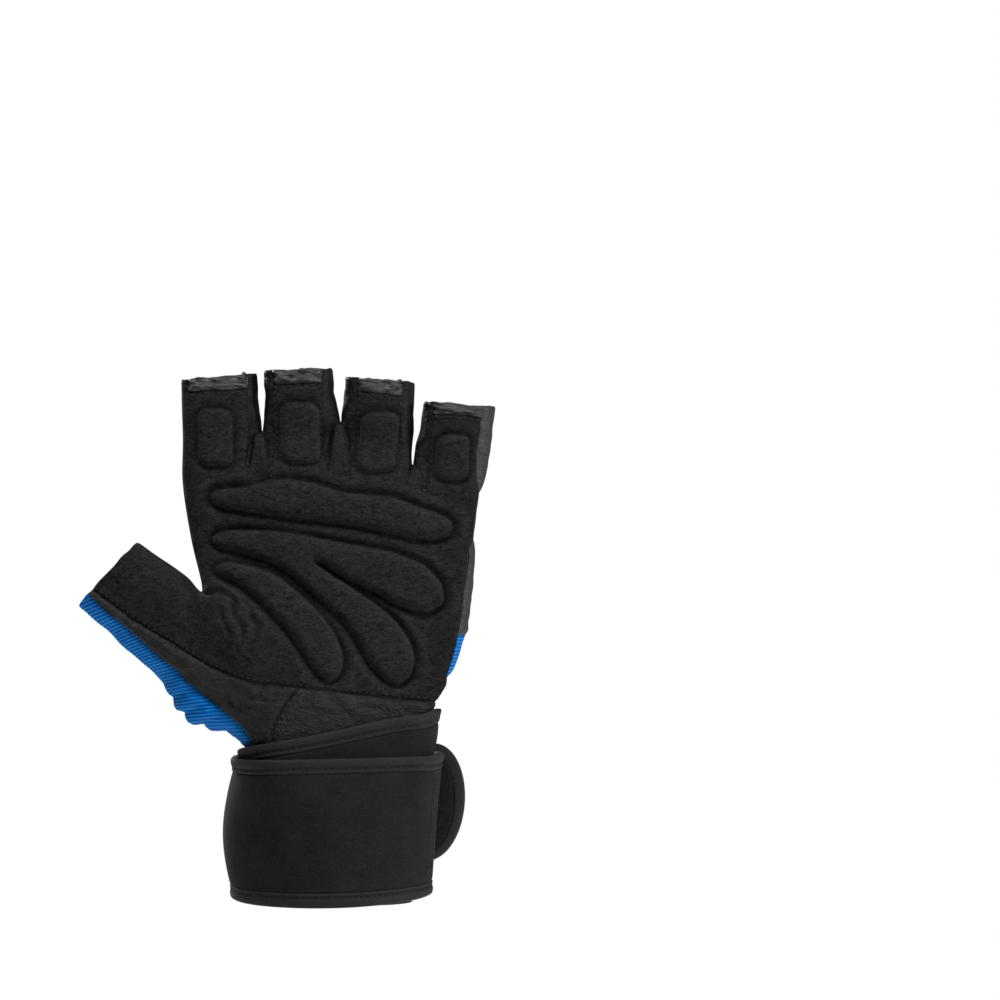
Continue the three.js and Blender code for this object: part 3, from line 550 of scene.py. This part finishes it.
# Loose edges put in order, as lists of vertices, the longest first.
def chainUp(edges):
    beside = {}
    for a, b in ends[edges]:
        beside.setdefault(a, []).append(b)
        beside.setdefault(b, []).append(a)
    chains = []
    while beside:
        tips = [v for v in beside if len(beside[v]) == 1]
        chain = [tips[0] if tips else next(iter(beside))]
        while beside.get(chain[-1]):
            here = chain[-1]
            there = beside[here].pop()
            beside[there].remove(here)
            chain.append(there)
        beside = {v: others for v, others in beside.items() if others}
        chains.append(chain)
    return sorted(chains, key=len, reverse=True)


# Relief of the palm
padShape = {
    "large": {"height": 2.7, "slope": 4.6, "valley": 1.05, "valleyWidth": 1.3, "shoulder": 0.6},
    "finger": {"height": 1.9, "slope": 2.4, "valley": 0.6, "valleyWidth": 1.1, "shoulder": 0.3},
}


# The edge of a pad as a closed line in x and z, a point to a millimetre, with its corners eased.
def padOutline(name):
    shape = cadCopy(name)
    rim = [edge for edge in shape.edges if len(edge.link_faces) == 2
           and min(face.normal.y for face in edge.link_faces) < -0.3
           and max(abs(face.normal.y) for face in edge.link_faces) >= 0.3
           and min(abs(face.normal.y) for face in edge.link_faces) < 0.05]
    beside = {}
    for edge in rim:
        for vert in edge.verts:
            beside.setdefault(vert, []).append(edge.other_vert(vert))
    start = next(iter(beside))
    loop = [start]
    last = None
    while True:
        onward = [v for v in beside[loop[-1]] if v is not last]
        last = loop[-1]
        if onward[0] is start or len(loop) > len(beside):
            break
        loop.append(onward[0])
    line = np.array([(vert.co.x, vert.co.z) for vert in loop]) * 1000
    shape.free()
    closed = np.vstack([line, line[:1]])
    length = np.concatenate([[0], np.cumsum(np.linalg.norm(np.diff(closed, axis=0), axis=1))])
    marks = np.linspace(0, length[-1], int(length[-1]), endpoint=False)
    line = np.stack([np.interp(marks, length, closed[:, k]) for k in range(2)], 1)
    for _ in range(6 if len(line) > 90 else 2):
        line = (np.roll(line, 1, axis=0) + 2 * line + np.roll(line, -1, axis=0)) / 4
    return line


# How far inside a closed outline each point lies, less than zero outside.
def depthInside(points, line):
    onward = np.roll(line, -1, axis=0)
    nearest = np.full(len(points), 1e9)
    inside = np.zeros(len(points), bool)
    for a, b in zip(line, onward):
        side = b - a
        share = np.clip(((points - a) @ side) / (side @ side), 0, 1)
        gap = points - a - share[:, None] * side
        nearest = np.minimum(nearest, (gap * gap).sum(1))
        crosses = (a[1] > points[:, 1]) != (b[1] > points[:, 1])
        rise = b[1] - a[1] if abs(b[1] - a[1]) > 1e-12 else 1e-12
        inside ^= crosses & (points[:, 0] < a[0] + (points[:, 1] - a[1]) * side[0] / rise)
    return np.sqrt(nearest) * np.where(inside, 1, -1)


# Each pad rises from a pressed line round it, with a low shoulder outside that line.
def padRelief(points):
    lift = np.zeros(len(points))
    valley = np.zeros(len(points))
    for name in padNames:
        large = name in ("pad_knuckles", "pad_centre", "pad_thenar")
        form = padShape["large" if large else "finger"]
        depth = depthInside(points, padOutline(name))
        rise = np.clip(depth / form["slope"], 0, 1)
        lift = np.maximum(lift, form["height"] * (1 - (1 - rise) ** 2.4))
        lift = np.maximum(lift, form["shoulder"] * bell(depth + 3.4, 1.9))
        valley = np.maximum(valley, form["valley"] * bell(depth, form["valleyWidth"]))
    return lift - valley


# Creases in the suede by the thumb and in the leather under it: x and z in millimetres.
creases = [
    {"depth": 0.9, "width": 1.3, "line": [(-48.1, 118.0), (-44.4, 115.8), (-39.6, 114.3), (-34.8, 110.6)]},
    {"depth": 0.6, "width": 1.1, "line": [(-38.5, 112.9), (-34.0, 108.4), (-31.8, 102.5), (-32.9, 95.8)]},
    {"depth": 0.5, "width": 1.1, "line": [(-42.2, 111.4), (-38.5, 106.2), (-36.6, 100.3), (-37.4, 94.4)]},
    {"depth": 0.5, "width": 1.0, "line": [(-29.6, 110.6), (-27.6, 104.7), (-27.9, 98.1)]},
    {"depth": 0.4, "width": 0.8, "line": [(-34.8, 98.1), (-31.8, 92.1), (-30.3, 87.7)]},
    {"depth": 0.75, "width": 0.9, "line": [(-37.5, 77.4), (-33.0, 73.4), (-25.9, 73.6)]},
    {"depth": 0.6, "width": 0.9, "line": [(-30.5, 80.0), (-27.5, 76.6), (-22.0, 76.0)]},
    {"depth": 0.5, "width": 0.8, "line": [(-4.4, 73.6), (4.8, 70.4), (15.9, 68.2)]},
    {"depth": 0.45, "width": 0.8, "line": [(-0.7, 69.2), (8.5, 67.0), (17.0, 64.6)]},
]


def creaseRelief(points):
    total = np.zeros(len(points))
    for crease in creases:
        line = np.array(crease["line"])
        nearest = np.full(len(points), 1e9)
        along = np.zeros(len(points))
        for i, (a, b) in enumerate(zip(line[:-1], line[1:])):
            side = b - a
            share = np.clip(((points - a) @ side) / (side @ side), 0, 1)
            gap = np.linalg.norm(points - a - share[:, None] * side, axis=1)
            closer = gap < nearest
            nearest = np.where(closer, gap, nearest)
            along = np.where(closer, (i + share) / (len(line) - 1), along)
        fade = ease(along / 0.2) * ease((1 - along) / 0.3)
        swell = bell(nearest - 2 * crease["width"], crease["width"] * 1.1)
        total += crease["depth"] * fade * (0.7 * swell - bell(nearest, crease["width"]))
    return total


def panelsNamed(*starts):
    mask = np.zeros(len(places), bool)
    for name in panelNames:
        if name.startswith(starts):
            mask |= panelMask[name]
    return mask


def distanceToEdges(edges):
    return distanceTo(places, places[np.unique(ends[edges])])


print("relief")
front = normals[:, 1] < -0.15
suedeFront = panelMask["palm_suede"] & front
toSeam = distanceToEdges((lowPanel != highPanel) & (edgeUses == 2))
toRim = distanceToEdges(edgeUses == 1)

wander = 0.9 * np.stack([ripples(places[front], (9, 9, 9), seed) for seed in (21, 22, 23)], 1)
move = np.zeros(len(places))
move[suedeFront] += padRelief(places[suedeFront][:, [0, 2]])
move[front] += creaseRelief((places[front] + wander)[:, [0, 2]])

# Each seam lies in a groove with a soft roll beside it, shallower along the walls of the fingers.
groove = {
    "depth": 0.6, "width": 0.85, "roll": 0.22, "rollAt": 2.0, "rollWidth": 1.1,
    "atWalls": 0.6, "wallReach": 2.5,
}
wallSeams = np.concatenate([seamEdges("palm_suede", name) for name in panelNames
                            if name.startswith(("side_wall_", "outer_strip"))])
atWall = bell(distanceToEdges(wallSeams), groove["wallReach"])
grooveDepth = groove["depth"] * (1 - (1 - groove["atWalls"]) * atWall)
move -= grooveDepth * bell(toSeam, groove["width"])
move += groove["roll"] * bell(toSeam - groove["rollAt"], groove["rollWidth"])
# The relief so far is kept to darken the colours where it is low: painted shade.
shadingRelief = move.copy()

# Open edges turn in a little and run unevenly, and the knit ends short of the hems.
rim = {
    "drop": 0.4, "reach": 1.3, "wave": 0.17, "waveReach": 5, "waveAbove": 100,
    "knitDrop": 1.2, "knitReach": 3, "knitAbove": 140,
}
move -= rim["drop"] * (1 - np.clip(toRim / rim["reach"], 0, 1)) ** 2

# Unevenness of each finish: how far it goes, the size of its waves along x, y and z, and a seed.
unevenness = [
    {"where": panelsNamed("hem_"), "far": 0.27, "size": (6, 6, 1.7), "seed": 11},
    {"where": panelsNamed("thumb_gusset", "heel_leather"), "far": 0.16, "size": (9, 9, 5), "seed": 12},
    {"where": panelsNamed("side_wall_", "outer_strip"), "far": 0.1, "size": (6, 6, 6), "seed": 13},
    {"where": suedeFront, "far": 0.1, "size": (8, 8, 8), "seed": 14},
    {"where": panelsNamed("back_knit", "thumb_knit"), "far": 0.22, "size": (26, 26, 12), "seed": 15},
]
for row in unevenness:
    where = row["where"]
    move[where] += row["far"] * ripples(places[where], row["size"], row["seed"])

# The suede hides the knit where they meet, at the sides of the palm and of the thumb.
tuck = {"reach": 3.5, "lip": 0.25, "lipReach": 2.0, "thumb_knit": 1.2, "back_knit": 0.9}
for name in ("thumb_knit", "back_knit"):
    toSuede = distanceToEdges(seamEdges("palm_suede", name))
    move[panelMask[name]] -= (tuck[name] * bell(toSuede - 1, tuck["reach"]))[panelMask[name]]
    move[suedeFront] += (tuck["lip"] * bell(toSuede - 1.5, tuck["lipReach"]))[suedeFront]

# At the outer side the knit draws in above the strap.
drawIn = {"past": 30, "far": 1.6, "heights": (66, 88, 8, 8)}
where = panelMask["back_knit"] & (places[:, 0] > drawIn["past"])
move[where] -= drawIn["far"] * span(places[where, 2], *drawIn["heights"])

# The knit bunches where the thumb's base meets the strap.
bunch = {
    "middle": (-50, 71), "reach": (15, 11), "pitch": 12.5, "out": 2.6, "turn": 112,
    "lift": 1.3, "round": 0.8, "seam": 3.5,
}
where = panelMask["thumb_knit"]
x, _, z = places[where].T
near = np.exp(-(((x - bunch["middle"][0]) / bunch["reach"][0]) ** 2
                + ((z - bunch["middle"][1]) / bunch["reach"][1]) ** 2))
turn = math.radians(bunch["turn"])
across = x * math.cos(turn) + z * math.sin(turn)
fold = np.abs(np.sin(across * 2 * math.pi / bunch["pitch"])) ** bunch["round"]
move[where] += near * ease(toSeam[where] / bunch["seam"]) * (bunch["out"] * fold + bunch["lift"])

moved = places + normals * move[:, None]
nearRim = (1 - np.clip(toRim / rim["waveReach"], 0, 1)) * (places[:, 2] > rim["waveAbove"])
moved[:, 2] += rim["wave"] * ripples(places, (6, 6, 40), 31) * nearRim
knitRim = panelMask["back_knit"] & (places[:, 2] > rim["knitAbove"])
moved[knitRim, 2] -= (rim["knitDrop"] * bell(toRim, rim["knitReach"]))[knitRim]

# Between the fingers the leather walls lean together and meet in a web at the bottom of each gap. Low in each
# gap the walls' colour is darkened as painted shade.
gapBottoms = {"index_middle": (-25.7, 173.0), "middle_ring": (3.3, 176.5), "ring_little": (29.6, 160.6)}
web = {
    "lean": 0.94, "above": 15, "below": 6, "seam": 4, "lift": 1.3, "liftOver": 1.5,
    "dark": 0.8, "paintedShadeBelow": 8,
}
for name, (middle, bottom) in gapBottoms.items():
    wall = panelMask["side_wall_" + name]
    height = places[wall, 2] - bottom
    inner = ease(toSeam[wall] / web["seam"])
    lean = web["lean"] * (1 - ease(height / web["above"])) * ease((height + web["below"]) / web["below"])
    moved[wall, 0] -= (moved[wall, 0] - middle) * lean * inner
    moved[wall, 2] += (web["lift"] - height) * ease(-height / web["liftOver"]) * inner
    # Painted shade: the walls darker towards the bottom of the gap.
    shadingRelief[wall] -= web["dark"] * ease((web["paintedShadeBelow"] - height) / 10)
addAttribute(shell, "relief", shadingRelief)

# Where the outline of the outer side stands out or draws in: heights are low, high, rise and fall.
sideShifts = [
    {"panel": "palm_suede", "out": 1.3, "past": 40, "over": 9, "heights": (130, 157, 7, 6)},
    {"panel": "palm_suede", "out": 2.0, "past": 28, "over": 9, "heights": (69, 87, 13, 6)},
    {"panel": "outer_strip", "out": -1.5, "past": 0, "seam": 3, "heights": (130, 157, 7, 6)},
    {"panel": "back_knit", "out": -1.0, "past": 36, "seam": 2, "heights": (66, 104, 8, 4)},
]
for row in sideShifts:
    where = panelMask[row["panel"]] & (places[:, 0] > row["past"])
    shift = row["out"] * span(places[where, 2], *row["heights"])
    if "over" in row:
        shift *= ease((places[where, 0] - row["past"]) / row["over"])
    if "seam" in row:
        shift *= ease(toSeam[where] / row["seam"])
    moved[where, 0] += shift
writePlaces(shell.data, moved * mm)
shellTree = surfaceOf(shell)


# The distance across the ribs on the thumb, which are level at its root and slope towards its tip.
thumbRibs = {"start": (-40, 66), "level": 94, "slope": 18, "over": 60, "height": 0.09}


def ribPlace(points):
    x = points[:, 0] - thumbRibs["start"][0]
    z = points[:, 2] - thumbRibs["start"][1]
    along = (z - x) * 0.7
    turn = np.radians(thumbRibs["level"] + thumbRibs["slope"] * ease(along / thumbRibs["over"]))
    return x * np.cos(turn) + z * np.sin(turn)


# Panels as pieces
def cutPanel(name):
    shape = bmesh.new()
    shape.from_mesh(shell.data)
    keep = panelId[name]
    bmesh.ops.delete(shape, geom=[face for face in shape.faces if face.material_index != keep],
                     context="FACES")
    return asObject(shape, "glove_" + name)


# The side walls take the leather darkened as painted shade, the outer strip the leather paled as painted
# sheen.
lookOfPanel = {"hem": "hem", "side": "wall", "outer": "strip"}  # by the first word, otherwise by slot

print("panels")
for name in panelNames:
    piece = cutPanel(name)
    slot = slotOf[name]
    if name == "thumb_knit":
        subdivide(piece, 1, "SIMPLE")
        at = readVectors(piece.data, "co") * 1000
        wave = thumbRibs["height"] * np.sin(ribPlace(at) * 2 * math.pi / knitLook["pitch"])
        writePlaces(piece.data, (at + readVectors(piece.data, "normal") * wave[:, None]) * mm)
    giveWall(piece, panelWall[name])
    if slot == "knit":
        at = readVectors(piece.data, "co") * 1000
        addAttribute(piece, "rib", ribPlace(at) if name == "thumb_knit" else at[:, 2])
    replaced = [name]
    if name == "palm_suede":
        replaced += padNames
    look = lookOfPanel.get(name.split("_")[0], slot)
    finishPiece(piece, looks[look], replaced)


# Stitches
def smoothLine(line, rounds=3):
    for _ in range(rounds):
        line[1:-1] = (line[:-2] + 2 * line[1:-1] + line[2:]) / 4
    return line


# The line of a seam moved off it to the given panel's side.
def seamLine(chain, side, offset):
    line = moved[chain]
    along = np.gradient(line, axis=0)
    along /= np.linalg.norm(along, axis=1)[:, None] + 1e-9
    across = np.cross(normals[chain], along)
    onwards = distanceTo(line + across * 2, moved[panelMask[side]])
    backwards = distanceTo(line - across * 2, moved[panelMask[side]])
    sign = 1 if np.mean(onwards < backwards) > 0.5 else -1
    return smoothLine(line + across * sign * offset)


# Spots a pitch apart along a line, with the line's way at each.
def evenly(line, pitch):
    step = np.linalg.norm(np.diff(line, axis=0), axis=1)
    length = np.concatenate([[0], np.cumsum(step)])
    count = max(2, int(length[-1] / pitch))
    marks = (np.arange(count) + 0.5) * length[-1] / count
    spots = np.stack([np.interp(marks, length, line[:, k]) for k in range(3)], 1)
    ahead = np.stack([np.interp(marks + 0.3, length, line[:, k]) for k in range(3)], 1)
    back = np.stack([np.interp(marks - 0.3, length, line[:, k]) for k in range(3)], 1)
    return spots, ahead - back


stitchForm = {"pitch": 2.4, "long": 1.7, "wide": 0.66, "high": 0.5}


def sewRow(shape, line, tree, pitch=None, lift=0.1, size=1.0):
    spots, along = evenly(line, pitch or stitchForm["pitch"])
    for spot, way in zip(spots, along):
        place, normal, _, _ = tree.find_nearest(Vector(spot) * mm)
        if place is None:
            continue
        way = Vector(way)
        way -= normal * way.dot(normal)
        if way.length < 1e-6:
            continue
        way.normalize()
        turn = Matrix((way, normal.cross(way), normal)).transposed().to_4x4()
        scale = Matrix.Diagonal((stitchForm["long"] * size, stitchForm["wide"] * size,
                                 stitchForm["high"] * size, 1)) * 0.5 * mm
        scale[3][3] = 1
        put = Matrix.Translation(place + normal * lift * mm) @ turn @ scale
        bmesh.ops.create_icosphere(shape, subdivisions=1, radius=1, matrix=put)


seamRows = [
    {"between": ("palm_suede", "heel_leather"), "side": "palm_suede", "offsets": [1.5]},
    {"between": ("palm_suede", "thumb_gusset"), "side": "palm_suede", "offsets": [1.5]},
    {"between": ("thumb_gusset", "heel_leather"), "side": "heel_leather", "offsets": [1.3, 3.2]},
    {"between": ("palm_suede", "outer_strip"), "side": "palm_suede", "offsets": [1.4]},
    {"between": ("palm_suede", "back_knit"), "side": "palm_suede", "offsets": [1.4]},
]
for finger in ("index", "middle", "ring", "little"):
    seamRows.append({"between": ("palm_suede", "hem_" + finger), "side": "palm_suede", "offsets": [1.5]})
for wall in ("index_middle", "middle_ring", "ring_little"):
    seamRows.append({"between": ("palm_suede", "side_wall_" + wall), "side": "palm_suede", "offsets": [1.4]})

print("stitches")
rows = {"thread": bmesh.new(), "pale": bmesh.new()}
for row in seamRows:
    thread = "pale" if row["side"] == "heel_leather" else "thread"
    for chain in chainUp(seamEdges(*row["between"])):
        if len(chain) < 8:
            continue
        for offset in row["offsets"]:
            sewRow(rows[thread], seamLine(np.array(chain), row["side"], offset), shellTree)
for thread, name, slot in (("thread", "palm_stitches", "suede"), ("pale", "heel_stitches", "leather")):
    finishPiece(asObject(rows[thread], name), looks[thread], sharp=180)


# Strap: its solids with rounded edges
def roundedBand(name, levels, bevel):
    shape = cadCopy(name)
    edges = [edge for edge in shape.edges if len(edge.link_faces) == 2 and edge.calc_face_angle() > 1.0]
    bmesh.ops.bevel(shape, geom=edges, offset=bevel * mm, offset_type="OFFSET", affect="EDGES",
                    segments=2, profile=0.5, material=-1, clamp_overlap=True)
    return subdivide(asObject(shape, "glove_" + name), levels)


# The long edges of a band of quads, each from one end to the other, the outermost first.
def bandLines(name):
    shape = cadCopy(name)
    caps = [face for face in shape.faces
            if len(face.verts) == 4 and all(edge.calc_face_angle() > 1.0 for edge in face.edges)]
    lines = []
    for corner in caps[0].verts:
        line = [corner]
        onward = [edge for edge in corner.link_edges if edge not in caps[0].edges]
        while onward:
            line.append(onward[0].other_vert(line[-1]))
            beside = set(onward[0].link_faces)
            onward = [edge for edge in line[-1].link_edges if not beside & set(edge.link_faces)]
        lines.append(np.array([vert.co[:] for vert in line]) * 1000)
    shape.free()
    return sorted(lines, key=lambda line: -np.hypot(line[:, 0], line[:, 1]).mean())


# A line across the binding's outer face, at a share of its width from the edge of the strap.
def stitchLine(name, share):
    outer = sorted(bandLines(name)[:2], key=lambda line: line[:, 2].mean())
    if name == "strap_upper_binding":
        outer.reverse()
    return outer[0] + share * (outer[1] - outer[0])


bands = {
    "strap": {"levels": 2, "bevel": 0.5, "swell": 0.4, "look": "neoprene"},
    "strap_upper_binding": {"levels": 3, "bevel": 0.9, "swell": 0.25, "look": "binding"},
    "strap_lower_binding": {"levels": 3, "bevel": 0.9, "swell": 0.25, "look": "binding"},
    "tab": {"levels": 3, "bevel": 0.5, "swell": 0.65, "look": "fuzz"},
    "tab_binding": {"levels": 2, "bevel": 0.9, "swell": 0.25, "look": "ribbed"},
}
# The depth and width here are those of the painted shade along the rows at the strap's end.
strapEnd = {
    "insets": (0.7, 2.1), "low": 12, "high": 47, "rayFrom": -60, "slice": 2.5,
    "pitch": 1.6, "depth": 0.8, "width": 0.8,
}
bindingSeam = {"share": 0.68, "width": 0.75, "depth": 0.5, "stitch": 0.85}
firstCorner = {"in": 1.4, "x": 33, "xOver": 7, "z": 62, "zOver": 11}
wristRadius = 32
tabRadius = 20


# Two rows of stitches down the end of the outer turn, found from the front by rays. Along each row the colour
# is darkened as painted shade, with no dent in the mesh.
def sewStrapEnd(piece, at, sewing):
    tree = surfaceOf(piece)
    shadingRelief = np.zeros(len(at))
    for inset in strapEnd["insets"]:
        line = []
        for z in np.linspace(strapEnd["low"], strapEnd["high"], 40):
            level = at[np.abs(at[:, 2] - z) < strapEnd["slice"]]
            start = Vector((level[:, 0].max() - inset, strapEnd["rayFrom"], z)) * mm
            found = tree.ray_cast(start, Vector((0, 1, 0)))[0]
            if found:
                line.append(found * 1000)
        line = smoothLine(np.array(line))
        sewRow(sewing, line, tree, pitch=strapEnd["pitch"], lift=0.0)
        shadingRelief -= strapEnd["depth"] * bell(distanceTo(at, line), strapEnd["width"])
    return shadingRelief


# One row along a binding, pulled into a groove by its thread; the groove's colour is also darkened as painted
# shade.
def sewBinding(piece, name, at, sewing):
    line = stitchLine(name, bindingSeam["share"])
    dense = np.concatenate([line[:-1] + (line[1:] - line[:-1]) * k / 8 for k in range(8)])
    shadingRelief = -bell(distanceTo(at, dense), bindingSeam["width"])
    pull = readVectors(piece.data, "normal") * (bindingSeam["depth"] * shadingRelief)[:, None]
    writePlaces(piece.data, (at + pull) * mm)
    sewRow(sewing, line, surfaceOf(piece), lift=0.0, size=bindingSeam["stitch"])
    return shadingRelief


print("strap")
sewing = bmesh.new()
for name, band in bands.items():
    piece = roundedBand(name, band["levels"], band["bevel"])
    at = readVectors(piece.data, "co") * 1000
    at += readVectors(piece.data, "normal") * band["swell"]
    above = ease((at[:, 2] - firstCorner["z"]) / firstCorner["zOver"])
    at[:, 0] -= firstCorner["in"] * above * ease((at[:, 0] - firstCorner["x"]) / firstCorner["xOver"])
    writePlaces(piece.data, at * mm)
    shadingRelief = np.zeros(len(at))
    if name == "strap":
        shadingRelief = sewStrapEnd(piece, at, sewing)
    elif name.startswith("strap_"):
        shadingRelief = sewBinding(piece, name, at, sewing)
    # The relief darkens the colour of the strap's pieces where it is low: painted shade.
    addAttribute(piece, "relief", shadingRelief)
    around = np.arctan2(at[:, 1], at[:, 0]) * wristRadius
    if name == "tab_binding":
        outward = np.hypot(at[:, 0], at[:, 1]) - wristRadius
        around = np.arctan2(at[:, 2] - at[:, 2].mean(), outward) * tabRadius
    addAttribute(piece, "rib", around)
    finishPiece(piece, looks[band["look"]], [name])
finishPiece(asObject(sewing, "strap_stitches"), looks["thread"], sharp=180)

bpy.data.objects.remove(shell)


# Floor, light and camera
studio = {
    "floorLevel": -0.19, "floorRadius": 0.7, "floorPaint": (0.9, 0.9, 0.9, 1),
    "sky": (1, 1, 1, 1), "skyLight": (0.97, 0.985, 1, 1), "skyStrength": 0.19,
    "middle": (0, 0, 0.1),
}
lamps = {
    "key": {"place": (-0.1, -0.6, 1.3), "size": 0.45, "watts": 28},
    "side": {"place": (1.3, -0.5, 0.3), "size": 0.6, "watts": 24},
    "back": {"place": (-0.7, 1.3, 0.9), "size": 0.6, "watts": 18},
}
view = {"place": (0.06215, -2.0, 0.14985), "wide": 0.370, "sensor": 36, "far": 50}


def makeFloor():
    shape = bmesh.new()
    bmesh.ops.create_circle(shape, cap_ends=True, segments=96, radius=studio["floorRadius"],
                            matrix=Matrix.Translation((0, 0, studio["floorLevel"])))
    floor = asObject(shape, "floor")
    paint = newMaterial("floor paint", 0.9)
    paint.node_tree.nodes["Principled BSDF"].inputs["Base Color"].default_value = studio["floorPaint"]
    floor.data.materials.append(paint)


# The backdrop is white, and gives less light than it shows.
def makeSky():
    scene.world = bpy.data.worlds.new("studio")
    scene.world.use_nodes = True
    tree = scene.world.node_tree
    shown = tree.nodes["Background"]
    shown.inputs["Color"].default_value = studio["sky"]
    given = tree.nodes.new("ShaderNodeBackground")
    given.inputs["Color"].default_value = studio["skyLight"]
    given.inputs["Strength"].default_value = studio["skyStrength"]
    chooser = tree.nodes.new("ShaderNodeMixShader")
    tree.links.new(tree.nodes.new("ShaderNodeLightPath").outputs["Is Camera Ray"], chooser.inputs["Fac"])
    tree.links.new(given.outputs[0], chooser.inputs[1])
    tree.links.new(shown.outputs[0], chooser.inputs[2])
    tree.links.new(chooser.outputs[0], tree.nodes["World Output"].inputs["Surface"])


def makeLamp(name, place, size, watts):
    lamp = bpy.data.lights.new(name, "AREA")
    lamp.shape = "DISK"
    lamp.size = size
    lamp.energy = watts
    holder = bpy.data.objects.new(name, lamp)
    scene.collection.objects.link(holder)
    holder.location = place
    towards = Vector(studio["middle"]) - Vector(place)
    holder.rotation_euler = towards.to_track_quat("-Z", "Y").to_euler()


def makeCamera():
    eye = bpy.data.cameras.new("camera")
    eye.sensor_width = view["sensor"]
    eye.lens = view["sensor"] * -view["place"][1] / view["wide"]
    eye.clip_end = view["far"]
    camera = bpy.data.objects.new("camera", eye)
    scene.collection.objects.link(camera)
    camera.location = view["place"]
    camera.rotation_euler = (math.pi / 2, 0, 0)
    scene.camera = camera


print("stage")
makeFloor()
makeSky()
for name, lamp in lamps.items():
    makeLamp(name, **lamp)
scene.view_settings.view_transform = "Standard"
makeCamera()
